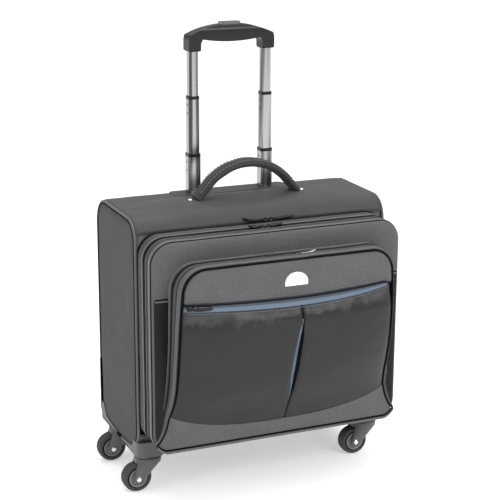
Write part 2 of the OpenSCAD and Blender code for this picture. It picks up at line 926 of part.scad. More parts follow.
collars(1);  // stage_1_collars
glides(1);  // stage_1_glides
moving_tubes(2);  // stage_2_tubes
collars(2);  // stage_2_collars
glides(2);  // stage_2_glides
moving_tubes(3);  // stage_3_tubes
stage_3_glides();
lock_pins();
release_rods();
grip_lower();
grip_upper();
release_button();
button_spring();
carry_handle();
flap_panel();
organizer_gusset();
organizer_panel();
pocket_gusset();
pocket_front();
badge();
slider_at(main_zip, -1, long_pull);  // main_slider_left
slider_at(main_zip, 1, long_pull);  // main_slider_right
slider_at(organizer_zip, -1, short_pull);  // organizer_slider_left
slider_at(organizer_zip, 1, short_pull);  // organizer_slider_right
slider_at(pocket_zip, -1, long_pull);  // pocket_slider_left
slider_at(pocket_zip, 1, long_pull);  // pocket_slider_right
front_slider();
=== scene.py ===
"""The looks of a pilot rolling flight case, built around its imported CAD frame."""

import bmesh
import bpy
import json
import math
import numpy as np
from mathutils import Matrix, Vector, noise

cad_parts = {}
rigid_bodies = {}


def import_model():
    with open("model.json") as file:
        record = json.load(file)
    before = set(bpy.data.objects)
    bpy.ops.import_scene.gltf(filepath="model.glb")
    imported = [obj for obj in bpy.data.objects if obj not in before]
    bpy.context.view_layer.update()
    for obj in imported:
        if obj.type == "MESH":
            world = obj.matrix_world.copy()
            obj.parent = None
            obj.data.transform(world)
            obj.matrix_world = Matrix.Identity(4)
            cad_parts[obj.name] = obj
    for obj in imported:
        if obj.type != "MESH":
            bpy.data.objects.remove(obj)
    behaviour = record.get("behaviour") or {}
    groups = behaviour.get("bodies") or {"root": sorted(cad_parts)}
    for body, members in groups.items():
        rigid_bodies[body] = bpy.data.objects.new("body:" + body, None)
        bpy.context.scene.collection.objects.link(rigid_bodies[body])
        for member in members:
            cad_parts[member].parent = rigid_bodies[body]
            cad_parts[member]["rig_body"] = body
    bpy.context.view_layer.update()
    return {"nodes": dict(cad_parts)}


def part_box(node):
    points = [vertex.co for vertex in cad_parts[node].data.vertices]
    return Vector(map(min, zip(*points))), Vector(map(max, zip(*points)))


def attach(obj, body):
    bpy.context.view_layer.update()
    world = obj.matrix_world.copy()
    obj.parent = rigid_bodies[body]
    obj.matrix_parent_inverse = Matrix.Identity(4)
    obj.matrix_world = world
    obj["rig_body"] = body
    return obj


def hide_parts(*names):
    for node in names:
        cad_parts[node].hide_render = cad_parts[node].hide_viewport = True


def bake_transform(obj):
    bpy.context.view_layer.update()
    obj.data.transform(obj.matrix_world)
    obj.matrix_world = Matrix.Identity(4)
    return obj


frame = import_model()
nodes = frame["nodes"]

MM = 0.001


def box(name):
    """Lowest and highest corner of a CAD node in millimetres."""
    low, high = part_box(name)
    return [v / MM for v in low], [v / MM for v in high]


# ---- Sizes, in millimetres, from the frame ----
side_low, side_high = box("left_side_panel")
flap_low, flap_high = box("flap_panel")
gusset_low = box("organizer_gusset")[0]
lid_low = box("organizer_panel")[0]
pocket_high = box("pocket_front")[1]

case_half = -side_low[0]
front_y, back_y = side_low[1], side_high[1]
case_bottom, case_top = side_low[2], side_high[2]
crown_h = 8.0
wheel_half = 11.0
axle_half = 2.55
depth_way = (0.0, 1.0, 0.0)
forward_way = (0.0, -1.0, 0.0)
up_way = (0.0, 0.0, 1.0)
case_radii = (45, 22, 40, 32)
panel_t = 4.0

bag_half = flap_high[0]
bag_bottom, bag_top = flap_low[2], flap_high[2]
bag_radii = (28, 28, 34, 34)
flap_y = flap_high[1]
lid_y = gusset_low[1]
face_y = lid_low[1]
bag_middle_z = (bag_bottom + bag_top) / 2

pocket_top = pocket_high[2]


# ---- Small geometry helpers ----
def resample(points, count, closed):
    """Points at even distances along a polyline."""
    p = np.array(points, float)
    if closed:
        p = np.vstack([p, p[:1]])
    run = np.concatenate([[0], np.cumsum(np.linalg.norm(np.diff(p, axis=0), axis=1))])
    where = np.linspace(0, run[-1], count + 1 if closed else count)
    if closed:
        where = where[:-1]
    return np.stack([np.interp(where, run, p[:, k]) for k in range(p.shape[1])], 1)


def length_of(points, closed=False):
    p = np.array(points, float)
    if closed:
        p = np.vstack([p, p[:1]])
    return float(np.linalg.norm(np.diff(p, axis=0), axis=1).sum())


def round_box(x0, z0, x1, z1, radii, count):
    """Outline with round corners: lower left, lower right, upper right, upper left. It runs anticlockwise."""
    centres = (
        (x0 + radii[0], z0 + radii[0], radii[0], 180),
        (x1 - radii[1], z0 + radii[1], radii[1], 270),
        (x1 - radii[2], z1 - radii[2], radii[2], 0),
        (x0 + radii[3], z1 - radii[3], radii[3], 90),
    )
    points = []
    for cx, cz, r, start in centres:
        for i in range(25):
            a = math.radians(start + 90 * i / 24)
            points.append((cx + r * math.cos(a), cz + r * math.sin(a)))
    return resample(points, count, True)


def outward(points, closed=True):
    """Unit normals of an anticlockwise outline, pointing out of it."""
    p = np.array(points, float)
    if closed:
        along = np.roll(p, -1, 0) - np.roll(p, 1, 0)
    else:
        along = np.gradient(p, axis=0)
    n = np.stack([along[:, 1], -along[:, 0]], 1)
    return n / np.maximum(np.linalg.norm(n, axis=1, keepdims=True), 1e-9)


def make(name, verts, faces, material, smooth=True):
    """A mesh object from points in millimetres. material is one material or a list."""
    mesh = bpy.data.meshes.new(name)
    mesh.from_pydata([tuple(float(c) * MM for c in v) for v in verts], [], [tuple(f) for f in faces])
    materials = material if isinstance(material, (list, tuple)) else [material]
    for m in materials:
        mesh.materials.append(m)
    mesh.polygons.foreach_set("use_smooth", [smooth] * len(mesh.polygons))
    mesh.update()
    made = bpy.data.objects.new(name, mesh)
    bpy.context.scene.collection.objects.link(made)
    return made


def grid_faces(rows, columns, close_rows=False, close_columns=False, start=0):
    """Quads of a grid whose points run column by column within each row."""
    faces = []
    for i in range(rows if close_rows else rows - 1):
        for j in range(columns if close_columns else columns - 1):
            a, b = i % rows, (i + 1) % rows
            c, d = j % columns, (j + 1) % columns
            faces.append((start + a * columns + c, start + b * columns + c,
                          start + b * columns + d, start + a * columns + d))
    return faces


def sweep(name, path, across, along, section, material, closed=True, section_closed=True, flip=False):
    """A section of (a, b) points carried along a path of 3-D points: point + a * across + b * along."""
    path, across, along = (np.array(v, float) for v in (path, across, along))
    verts = []
    for i in range(len(path)):
        for s in (section(i) if callable(section) else section):
            verts.append(path[i] + s[0] * across[i] + s[1] * along[i])
    count = len(verts) // len(path)
    faces = grid_faces(len(path), count, closed, section_closed)
    if not closed and section_closed:
        faces.append(tuple(range(count)))
        faces.append(tuple(reversed(range(len(verts) - count, len(verts)))))
    if flip:
        faces = [tuple(reversed(f)) for f in faces]
    return make(name, verts, faces, material)


def round_section(r, a=0.0, b=0.0, sides=12):
    """A circle of (a, b) points for sweep()."""
    turns = np.linspace(0, 2 * math.pi, sides, endpoint=False)
    return [(a + r * math.cos(t), b + r * math.sin(t)) for t in turns]


def same(direction, count):
    """One direction for every point of a path."""
    return np.tile(direction, (count, 1))


def front_frame(outline):
    """Path, outward directions and depth direction for an outline drawn in (x, z)."""
    n = outward(outline)
    across = np.stack([n[:, 0], np.zeros(len(n)), n[:, 1]], 1)
    along = same(depth_way, len(n))
    return across, along


def ring_at(outline, y):
    """An (x, z) outline as 3-D points in the plane of one depth."""
    y = np.broadcast_to(y, len(outline))
    return np.stack([outline[:, 0], y, outline[:, 1]], 1)


def ripple(p, size, seed=0.0):
    """A smooth random height from -1 to 1 at a 3-D point, with folds about size millimetres apart."""
    v = Vector((p[0] / size + seed, p[1] / size - seed, p[2] / size + 2 * seed))
    return noise.noise(v)


def fit(piece, body, slot, *replaced):
    """Rides on a body and stands for CAD nodes. Its slot argument is not used."""
    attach(piece, body)
    if replaced:
        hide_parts(*replaced)
    return piece


def join(name, parts):
    """Several mesh objects as one."""
    with bpy.context.temp_override(active_object=parts[0], selected_editable_objects=parts,
                                   selected_objects=parts, object=parts[0]):
        bpy.ops.object.join()
    parts[0].name = name
    return parts[0]


def thicken(piece, thickness, inner=0):
    """Gives a sheet a thickness, behind its outer face."""
    m = piece.modifiers.new("thickness", "SOLIDIFY")
    m.thickness = thickness * MM
    m.offset = -1
    m.material_offset = inner
    m.material_offset_rim = 0
    return piece


def tidy_normals(made):
    """Faces all look outwards."""
    bm = bmesh.new()
    bm.from_mesh(made.data)
    bmesh.ops.recalc_face_normals(bm, faces=bm.faces)
    bm.to_mesh(made.data)
    bm.free()


# ---- Materials: all procedural, with detail at its real size ----
class Shader:
    """Short calls for building a node material."""

    def __init__(self, name):
        self.material = bpy.data.materials.new(name)
        self.material.use_nodes = True
        self.tree = self.material.node_tree
        self.bsdf = self.tree.nodes["Principled BSDF"]
        self.place = self.node("ShaderNodeTexCoord").outputs["Object"]

    def node(self, kind, **settings):
        n = self.tree.nodes.new(kind)
        for key, value in settings.items():
            setattr(n, key, value)
        return n

    def put(self, socket, value):
        if isinstance(value, bpy.types.NodeSocket):
            self.tree.links.new(value, socket)
        else:
            socket.default_value = value

    def math(self, operation, a, b=0.0, clamp=False):
        n = self.node("ShaderNodeMath", operation=operation, use_clamp=clamp)
        self.put(n.inputs[0], a)
        self.put(n.inputs[1], b)
        return n.outputs[0]

    def noise(self, scale_mm, detail=3, roughness=0.55, stretch=(1, 1, 1)):
        """Noise whose largest lumps are about scale_mm across."""
        place = self.node("ShaderNodeMapping")
        self.put(place.inputs["Vector"], self.place)
        place.inputs["Scale"].default_value = stretch
        n = self.node("ShaderNodeTexNoise")
        n.inputs["Scale"].default_value = 1000 / scale_mm
        n.inputs["Detail"].default_value = detail
        n.inputs["Roughness"].default_value = roughness
        self.put(n.inputs["Vector"], place.outputs[0])
        return n.outputs["Fac"]

    def wave(self, period_mm, direction, distortion=0.0, profile="SIN"):
        n = self.node("ShaderNodeTexWave", wave_type="BANDS", bands_direction=direction,
                      wave_profile=profile)
        n.inputs["Scale"].default_value = 2 * math.pi * 1000 / period_mm / 20
        n.inputs["Distortion"].default_value = distortion
        n.inputs["Detail"].default_value = 1
        self.put(n.inputs["Vector"], self.place)
        return n.outputs["Fac"]

    def weave(self, period_mm):
        """Threads that cross, seen alike on faces that point along X, Y or Z."""
        total = None
        for direction in "XYZ":
            w = self.wave(period_mm, direction, 0.15)
            total = w if total is None else self.math("ADD", total, w)
        return self.math("MULTIPLY", total, 0.4)

    def mix(self, a, b, share):
        n = self.node("ShaderNodeMix", data_type="RGBA")
        self.put(n.inputs[0], share)
        self.put(n.inputs[6], (*a, 1) if isinstance(a, tuple) else a)
        self.put(n.inputs[7], (*b, 1) if isinstance(b, tuple) else b)
        return n.outputs[2]

    def ramp(self, value, low, high, out_low=0.0, out_high=1.0):
        n = self.node("ShaderNodeMapRange")
        self.put(n.inputs["Value"], value)
        for socket, v in (("From Min", low), ("From Max", high), ("To Min", out_low), ("To Max", out_high)):
            n.inputs[socket].default_value = v
        return n.outputs[0]

    def bump(self, height, depth_mm, strength=1.0):
        n = self.node("ShaderNodeBump")
        n.inputs["Strength"].default_value = strength
        n.inputs["Distance"].default_value = depth_mm * MM
        self.put(n.inputs["Height"], height)
        self.put(self.bsdf.inputs["Normal"], n.outputs[0])
        return n.outputs[0]

    def set(self, **values):
        for key, value in values.items():
            self.put(self.bsdf.inputs[key.replace("_", " ")], value)
        return self


def grey(level, tint=(0, 0, 0)):
    """A linear colour from an 8-bit grey level."""
    c = level / 255
    c = c / 12.92 if c <= 0.04045 else ((c + 0.055) / 1.055) ** 2.4
    return tuple(c * (1 + t) for t in tint)


COOL = (-0.02, -0.01, 0.03)


def woven(name, level, spread=0.16, thread=0.9, rough=0.86, sheen=0.1, depth=0.14, tint=COOL, gloss=0.28):
    """Matt polyester with mixed light and dark yarns."""
    s = Shader(name)
    base = grey(level, tint)
    fleck = s.noise(0.9, 2, 0.7, (1, 1, 0.45))
    cloud = s.noise(46, 3, 0.6)
    dark = tuple(c * (1 - spread) for c in base)
    light = tuple(c * (1 + spread) for c in base)
    yarn = s.mix(dark, light, s.ramp(fleck, 0.32, 0.68))
    shade = s.ramp(cloud, 0.3, 0.7, 0.93, 1.07)
    tone = s.node("ShaderNodeHueSaturation")
    s.put(tone.inputs["Color"], yarn)
    s.put(tone.inputs["Value"], shade)
    s.set(Base_Color=tone.outputs[0], Roughness=s.ramp(fleck, 0.3, 0.7, rough - 0.05, rough + 0.05))
    s.set(Sheen_Weight=sheen, Sheen_Roughness=0.45, Specular_IOR_Level=gloss)
    height = s.math("ADD", s.weave(thread), s.math("MULTIPLY", fleck, 0.5))
    s.bump(height, depth, 0.8)
    return s.material


def satin(name, colour, rough=0.42, sheen=0.08, depth=0.05, thread=0.5, gloss=0.4, painted_highlight=None):
    """Smooth close-woven cloth with a soft gloss. Its last argument paints a lighter, crumpled stretch above a
    height: a painted highlight where the cloth rolls over to face the light.
    """
    s = Shader(name)
    grain = s.noise(0.7, 2, 0.6)
    cloud = s.noise(60, 3, 0.6)
    low = tuple(c * 0.9 for c in colour)
    high = tuple(c * 1.1 for c in colour)
    cloth = s.mix(low, high, s.ramp(grain, 0.35, 0.65))
    if painted_highlight:
        level, z0, z1 = painted_highlight
        split = s.node("ShaderNodeSeparateXYZ")
        s.put(split.inputs[0], s.place)
        crumple = s.math("MULTIPLY", s.math("SUBTRACT", s.noise(24, 5, 0.7), 0.5), 0.05)
        height = s.math("ADD", split.outputs[2], crumple)
        # Lighter grey above the given height: a painted highlight on the cloth's rolled top.
        cloth = s.mix(cloth, grey(level, COOL), s.ramp(height, z0 * MM, z1 * MM))
    s.set(Base_Color=cloth)
    s.set(Roughness=s.ramp(cloud, 0.3, 0.7, rough - 0.05, rough + 0.06))
    s.set(Sheen_Weight=sheen, Sheen_Roughness=0.35, Specular_IOR_Level=gloss)
    height = s.math("ADD", s.weave(thread), s.math("MULTIPLY", grain, 0.6))
    s.bump(height, depth, 0.7)
    return s.material


def moulded(name, level, rough=0.45, grain_mm=0.5, depth=0.04, tint=COOL, gloss=0.4):
    """Grained plastic, a little lighter and smoother where hands and edges rub it."""
    s = Shader(name)
    base = grey(level, tint)
    fine = s.noise(grain_mm, 2, 0.5)
    worn = s.noise(24, 4, 0.65)
    light = tuple(c * 1.25 for c in base)
    s.set(Base_Color=s.mix(base, light, s.ramp(worn, 0.45, 0.75, 0, 0.5)))
    s.set(Roughness=s.ramp(worn, 0.3, 0.7, rough + 0.06, rough - 0.06), Specular_IOR_Level=gloss)
    s.bump(fine, depth, 0.6)
    return s.material


def metal(name, level, rough, grain=(1, 1, 0.02), grain_mm=0.35, depth=0.006, tint=(0, 0, 0), painted_reflection=None):
    """Metal with drawn or brushed lines along one direction. Its last argument, when given, darkens the metal in
    long streaks: painted reflections.
    """
    s = Shader(name)
    lines = s.noise(grain_mm, 3, 0.6, grain)
    base = grey(level, tint)
    low = tuple(c * 0.92 for c in base)
    drawn = s.mix(low, base, lines)
    if painted_reflection:
        # Dark streaks along the metal: painted reflections, not a colour of the metal.
        band = s.noise(painted_reflection, 1, 0.3, (1, 1, 0.02))
        drawn = s.mix(tuple(c * 0.16 for c in base), drawn, s.ramp(band, 0.4, 0.54))
    s.set(Base_Color=drawn, Metallic=1.0)
    s.set(Roughness=s.ramp(lines, 0.3, 0.7, rough - 0.04, rough + 0.06))
    s.bump(lines, depth, 0.5)
    return s.material


def rubber(name, level):
    s = Shader(name)
    base = grey(level, COOL)
    dust = s.noise(9, 4, 0.7)
    light = tuple(c * 1.35 for c in base)
    s.set(Base_Color=s.mix(base, light, s.ramp(dust, 0.5, 0.8, 0, 0.6)))
    s.set(Roughness=s.ramp(dust, 0.3, 0.7, 0.6, 0.75), Specular_IOR_Level=0.4)
    s.bump(s.noise(0.8, 3, 0.6), 0.05, 0.5)
    return s.material


# The shell cloth's tone, lighter than the face and side copies of the same fabric, is partly a painted highlight of
# the lit top.
LIT_SHELL = woven("shell_cloth_lit_tone", 108)
# The side panels' cloth is the shell fabric in a darker tone: painted shade of the sides, which face away from the
# light.
SHADED_SIDE = woven("side_cloth_shaded_tone", 62)
FACE = woven("face_cloth", 92, spread=0.26)
TAPE = woven("tape_cloth", 66, spread=0.1, thread=0.7, rough=0.8)
DARK_TAPE = woven("dark_tape", 26, spread=0.1, thread=0.7, rough=0.9, sheen=0.0, gloss=0.1)
HEM = satin("hem_cloth", grey(96, COOL), rough=0.5)
# The lighter stretch from 304 to 322 mm is a painted highlight on the rolled top of the pocket panels.
SATIN = satin("satin_cloth_and_painted_highlight", grey(38, COOL), rough=0.36, sheen=0.02, gloss=0.3, painted_highlight=(74, 304, 322))
DARK_SATIN = satin("dark_satin", grey(20, COOL), rough=0.5, sheen=0.0, gloss=0.2)
WELT = satin("welt_cord", grey(92, COOL), rough=0.45, depth=0.08, thread=0.8)
# Near-black cloth: the black edging at the foot, and elsewhere painted shade in grooves, gaps and the slit.
BLACK_AND_SHADE = satin("black_cloth_and_painted_shade", grey(6, COOL), rough=0.7, sheen=0.0, depth=0.06, thread=0.8, gloss=0.08)
COIL = moulded("zip_coil", 4, rough=0.5, gloss=0.2)
BLUE = satin("blue_cloth", (0.06, 0.083, 0.112), rough=0.4, sheen=0.02, gloss=0.3)
# Dark blue for the upper strip of the pocket zip tape: painted shadow under the pocket's upper edge.
SHADOW_BLUE = satin("blue_painted_shadow", (0.008, 0.014, 0.03), rough=0.45)
# Pale blue: the zip's lower tape, and on the slit's liner a painted highlight of its lit facet.
PALE_BLUE_AND_LIT = satin("pale_blue_and_painted_highlight", (0.12, 0.17, 0.23), rough=0.35, sheen=0.05, gloss=0.4)
LINING = satin("lining_cloth", grey(64, COOL), rough=0.55, depth=0.08, thread=1.2)
HANDLE = woven("handle_cloth", 56, spread=0.14, thread=1.1, rough=0.8, depth=0.2)
THREAD = satin("thread", grey(118, COOL), rough=0.6)
PLASTIC = moulded("moulded_plastic", 62, rough=0.5)
CUP = moulded("cup_plastic", 84, rough=0.4)
GRIP = moulded("grip_plastic", 30, rough=0.38, gloss=0.3)
GRIP_TOP = moulded("grip_top_plastic", 20, rough=0.32, gloss=0.35)
# The tube's dark streaks are painted reflections.
TUBE = metal("tube_aluminium", 178, 0.24, painted_reflection=9)
STEEL = metal("plated_steel", 150, 0.3, (1, 1, 1))
CHROME = metal("bright_steel", 240, 0.12, (1, 1, 1))
BUTTON = metal("dark_chrome", 120, 0.2, (1, 1, 1))
BADGE = metal("badge_metal", 250, 0.4, (0.03, 1, 1))
COLLAR = moulded("collar_plastic", 8, rough=0.35, gloss=0.3)
WHEEL = moulded("wheel_plastic", 116, rough=0.28, tint=COOL)
TYRE = rubber("tyre_rubber", 60)
# Black lacquer for the sliders; on the hubs the same black is painted shade in the recesses.
BLACK_LACQUER_AND_SHADE = moulded("black_lacquer_and_painted_shade", 4, rough=0.2, gloss=0.35)
BOARD = woven("board_cloth", 50, thread=1.4)


# ---- Case: side panels, walls and welts ----
def run_between(z, low_r, high_r):
    """How far a rounded end eats into the width of the case at a height."""
    low, high = case_bottom + low_r - z, z - (case_top - high_r)
    if low > 0:
        return low_r - math.sqrt(max(low_r ** 2 - low ** 2, 0))
    if high > 0:
        return high_r - math.sqrt(max(high_r ** 2 - high ** 2, 0))
    return 0.0


def side_cushion(side):
    """One side panel: a padded panel with a soft crown, lined inside."""
    rows, columns = 120, 60
    verts = []
    for i in range(rows):
        t = (1 - math.cos(math.pi * i / (rows - 1))) / 2
        z = case_bottom + (case_top - case_bottom) * t
        y0 = front_y + run_between(z, case_radii[0], case_radii[3])
        y1 = back_y - run_between(z, case_radii[1], case_radii[2])
        for j in range(columns):
            s = (1 - math.cos(math.pi * j / (columns - 1))) / 2
            y = y0 + (y1 - y0) * s
            inset = min(y - y0, y1 - y, z - case_bottom, case_top - z)
            edge = 1 - math.exp(-inset / 5)
            p = (side * 300, y, z)
            height = 2.6 * edge - 1.0 + edge * (1.3 * ripple(p, 85, 3) + 0.4 * ripple(p, 28, 8))
            verts.append((side * (case_half + height), y, z))
    name = "left" if side < 0 else "right"
    faces = grid_faces(rows, columns)
    if side > 0:
        faces = [tuple(reversed(f)) for f in faces]
    made = make(f"{name}_side_cushion", verts, faces, [SHADED_SIDE, LINING])
    thicken(made, panel_t, 1)
    return fit(made, "case", "shell_fabric", f"{name}_side_panel")


def profile(inset=0.0, count=600):
    """Side outline of the case in (y, z), anticlockwise from its lower front corner."""
    return round_box(front_y + inset, case_bottom + inset, back_y - inset, case_top - inset,
                     [max(r - inset, 1) for r in case_radii], count)


def stretch(points, keep):
    """The run of a closed outline whose points pass a test, in order."""
    marks = [bool(keep(p)) for p in points]
    start = next(i for i in range(len(points)) if marks[i] and not marks[i - 1])
    found = []
    for k in range(len(points)):
        i = (start + k) % len(points)
        if not marks[i]:
            break
        found.append(points[i])
    return np.array(found)


def crown(x, y):
    """Height of the padding over the case top. It fades out at the sides, front roll and handle plate."""
    wide = min(max((185 - abs(x)) / 75, 0), 1)
    deep = min(max((y - front_y) / 50, 0), 1) * min(max((front_y + 118 - y) / 34, 0), 1)
    return crown_h * (wide * wide * (3 - 2 * wide)) * (deep * deep * (3 - 2 * deep))


def wall(name, run, half, puff, node_names, slot="shell_fabric", material=None, seed=0.0, lid=False):
    """A strip of the case wall that follows a (y, z) run and lies between the side panels."""
    rows = resample(run, max(int(length_of(run) / 6), 6), False)
    n = outward(rows, False)
    columns = 64
    verts = []
    for i, (y, z) in enumerate(rows):
        for j in range(columns):
            x = -half + 2 * half * j / (columns - 1)
            side = 1 - math.exp(-(half - abs(x)) / 7)
            end = min(i, len(rows) - 1 - i) * length_of(run) / len(rows)
            ends = 1 - math.exp(-end / 6)
            p = (x, y, z)
            lift = puff * side * ends + side * ends * (0.8 * ripple(p, 70, seed) + 0.3 * ripple(p, 25, seed))
            rise = crown(x, y) if lid else 0.0
            verts.append((x, y + lift * n[i][0], z + lift * n[i][1] + rise))
    faces = [tuple(reversed(f)) for f in grid_faces(len(rows), columns)]
    if lid:
        low, high = box("handle_bezel")
        hidden = [all(low[a] + 1 < v[a] < high[a] - 1 for a in (0, 1)) for v in verts]
        faces = [f for f in faces if not all(hidden[k] for k in f)]
    made = make(name, verts, faces, [material or LIT_SHELL, LINING])
    thicken(made, panel_t - 0.5, 1)
    return fit(made, "case", slot, *node_names)


def welt(side, run, name):
    """A covered cord sewn along the edge of a side panel, with a near-black cord on each side of it: painted shade
    of the grooves beside the welt.
    """
    path = resample(run, int(length_of(run) / 3), False)
    n = outward(path, False)
    across = np.stack([np.zeros(len(n)), n[:, 0], n[:, 1]], 1)
    along = np.tile([side, 0, 0], (len(n), 1))
    points = np.stack([np.full(len(path), side * case_half), path[:, 0], path[:, 1]], 1)
    cord = [(1.0 + 2.5 * math.cos(a), -0.2 + 2.5 * math.sin(a))
            for a in np.linspace(0, 2 * math.pi, 12, endpoint=False)]
    made = sweep(name, points, across, along, cord, WELT, closed=False, flip=side < 0)
    # Two near-black cords beside the welt: painted shade of its grooves.
    for shift, depth in ((-2.2, 0.9), (2.4, -1.2)):
        groove_shade = [(depth + 1.0 * math.cos(a), shift + 0.9 * math.sin(a))
                  for a in np.linspace(0, 2 * math.pi, 8, endpoint=False)]
        tag = "in" if shift < 0 else "out"
        line = sweep(f"{name}_groove_{tag}", points, across, along, groove_shade, BLACK_AND_SHADE, closed=False)
        tidy_normals(line)
        fit(line, "case", "welt")
    return fit(made, "case", "welt", "side_piping")


def edge_guard(side, run, name):
    """Black moulded edging over the welt, low at the back and along the foot."""
    path = resample(run, max(int(length_of(run) / 4), 8), False)
    n = outward(path, False)
    across = np.stack([np.zeros(len(n)), n[:, 0], n[:, 1]], 1)
    along = np.tile([side, 0, 0], (len(n), 1))
    points = np.stack([np.full(len(path), side * case_half), path[:, 0], path[:, 1]], 1)
    round_edge = round_section(3.0, 1.0, 0.3)
    made = sweep(name, points, across, along, round_edge, BLACK_AND_SHADE, closed=False)
    tidy_normals(made)
    return fit(made, "case", "welt")


def build_case():
    outline = profile()
    side_cushion(-1)
    side_cushion(1)
    half = case_half - 1
    open_low, open_high = case_bottom + 37, case_top - 22
    back_low, back_high = box("back_panel")[0][2], box("back_panel")[1][2]
    middle = (front_y + back_y) / 2
    top = stretch(outline, lambda p: p[1] > (open_high if p[0] < middle else back_high))
    back = stretch(outline, lambda p: back_low < p[1] <= back_high and p[0] > middle)
    bottom = stretch(outline, lambda p: p[1] < (open_low if p[0] < middle else back_low))
    wall("top_cushion", top, half, 0.8, ["top_panel"], seed=4, lid=True)
    wall("back_cushion", back, half, 2.0, ["back_panel"], seed=6)
    wall("bottom_cover", bottom, half, 0.3, ["bottom_panel"], seed=2)
    cup_top = box("corner_cups")[1][2]
    above = stretch(outline, lambda p: p[1] > (cup_top - 6 if p[0] < middle else cup_top - 2))
    below = stretch(outline, lambda p: p[1] < case_bottom + 3 and front_y + 82 < p[0] < back_y - 82)
    for side, name in ((-1, "left"), (1, "right")):
        welt(side, above, f"{name}_welt")
        welt(side, below, f"{name}_foot_welt")
        guard = stretch(outline, lambda p: p[1] < 167 and p[0] > front_y + 46)
        edge_guard(side, guard, f"{name}_guard")
    opening_frame(open_low, open_high)


def opening_frame(z0, z1):
    """The front of the case around the organizer: cloth at the upper corners, and below them near-black cloth as
    painted shade of the deep gap beside the organizer.
    """
    count = 320
    inner = [round_box(-bag_half - grow, bag_bottom - grow, bag_half + grow, bag_top + grow,
                       [r + grow for r in bag_radii], count) for grow in (-5, 0.5)]
    outer = round_box(-case_half + 2, z0 - 6, case_half - 2, z1 + 4, (8, 8, 6, 6), count)
    verts = []
    for outline, depth in ((inner[0], 6), (inner[1], 0.4), (outer, -0.4)):
        for x, z in outline:
            verts.append((x, case_face(min(z, case_top - 8)) + depth, z))
    made = make("opening_cloth_and_shade", verts, grid_faces(3, count, False, True), [DARK_TAPE, LIT_SHELL, BLACK_AND_SHADE])
    # Faces below 405 mm take the near-black cloth: painted shade.
    for face in made.data.polygons:
        face.material_index = 1 if face.center.z > 0.405 else 2
    thicken(made, 1.2)
    fit(made, "case", "shell_fabric")


def case_face(z):
    """Y of the case's front surface at a height."""
    low, high = case_radii[0], case_radii[3]
    if z > case_top - high:
        rise = min(z - (case_top - high), high - 0.5)
        return front_y + high - math.sqrt(high ** 2 - rise ** 2)
    if z < case_bottom + low:
        drop = min(case_bottom + low - z, low - 0.5)
        return front_y + low - math.sqrt(low ** 2 - drop ** 2)
    return front_y


build_case()


# ---- Organizer: the ring that stays on the flap, the lid ring and its face ----
bag = round_box(-bag_half, bag_bottom, bag_half, bag_top, bag_radii, 420)
bag_across, bag_along = front_frame(bag)


def ring(name, outline, y0, stations, materials, body, slot, replaced=(), gather=0.0, seed=0.0):
    """A band around an outline. Stations are (depth forwards of y0, height, material before it)."""
    across, along = front_frame(outline)
    verts = []
    for i, (x, z) in enumerate(outline):
        for depth, height, _ in stations:
            p = (x, y0 - depth, z)
            soft = gather * (0.7 * ripple(p, 45, seed) + 0.4 * ripple((x, (y0 - depth) * 0.4, z), 14, seed))
            h = height + (soft if 0 < depth < stations[-1][0] else 0)
            verts.append((x + across[i][0] * h, y0 - depth, z + across[i][2] * h))
    columns = len(stations)
    made = make(name, verts, grid_faces(len(outline), columns, True, False), materials)
    indices = [stations[(k % (columns - 1)) + 1][2] for k in range(len(made.data.polygons))]
    made.data.polygons.foreach_set("material_index", indices)
    return fit(made, body, slot, *replaced)


def coil(name, points, across, along, body, radius=1.9, closed=True, slot="zip_metal", pitch=1.25):
    """A closed zip: interlocked coil teeth along a path."""
    count = int(length_of(points, closed) / pitch)
    track = np.hstack([np.array(points, float), np.array(across, float), np.array(along, float)])
    flat = resample_by(track, count, closed)
    p, a, b = flat[:, :3], flat[:, 3:6], flat[:, 6:9]

    def tooth(i):
        k = 1.0 if i % 2 else 0.62
        return [(radius * k * math.cos(t), radius * (0.75 + 0.25 * k) * math.sin(t))
                for t in np.linspace(0, 2 * math.pi, 8, endpoint=False)]

    made = sweep(name, p, a, b, tooth, COIL, closed)
    return fit(made, body, slot)


def resample_by(track, count, closed):
    """Resamples rows of values by the distance that their first three columns cover."""
    t = np.vstack([track, track[:1]]) if closed else track
    run = np.concatenate([[0], np.cumsum(np.linalg.norm(np.diff(t[:, :3], axis=0), axis=1))])
    where = np.linspace(0, run[-1], count + 1 if closed else count)
    if closed:
        where = where[:-1]
    return np.stack([np.interp(where, run, t[:, k]) for k in range(t.shape[1])], 1)


def cord_welt(name, outline, y, radius, body, material=None, slot="welt", lift=0.6):
    across, along = front_frame(outline)
    section = [(lift + radius * math.cos(t), radius * math.sin(t))
               for t in np.linspace(0, 2 * math.pi, 12, endpoint=False)]
    made = sweep(name, ring_at(outline, y), across, along, section, material or WELT)
    return fit(made, body, slot)


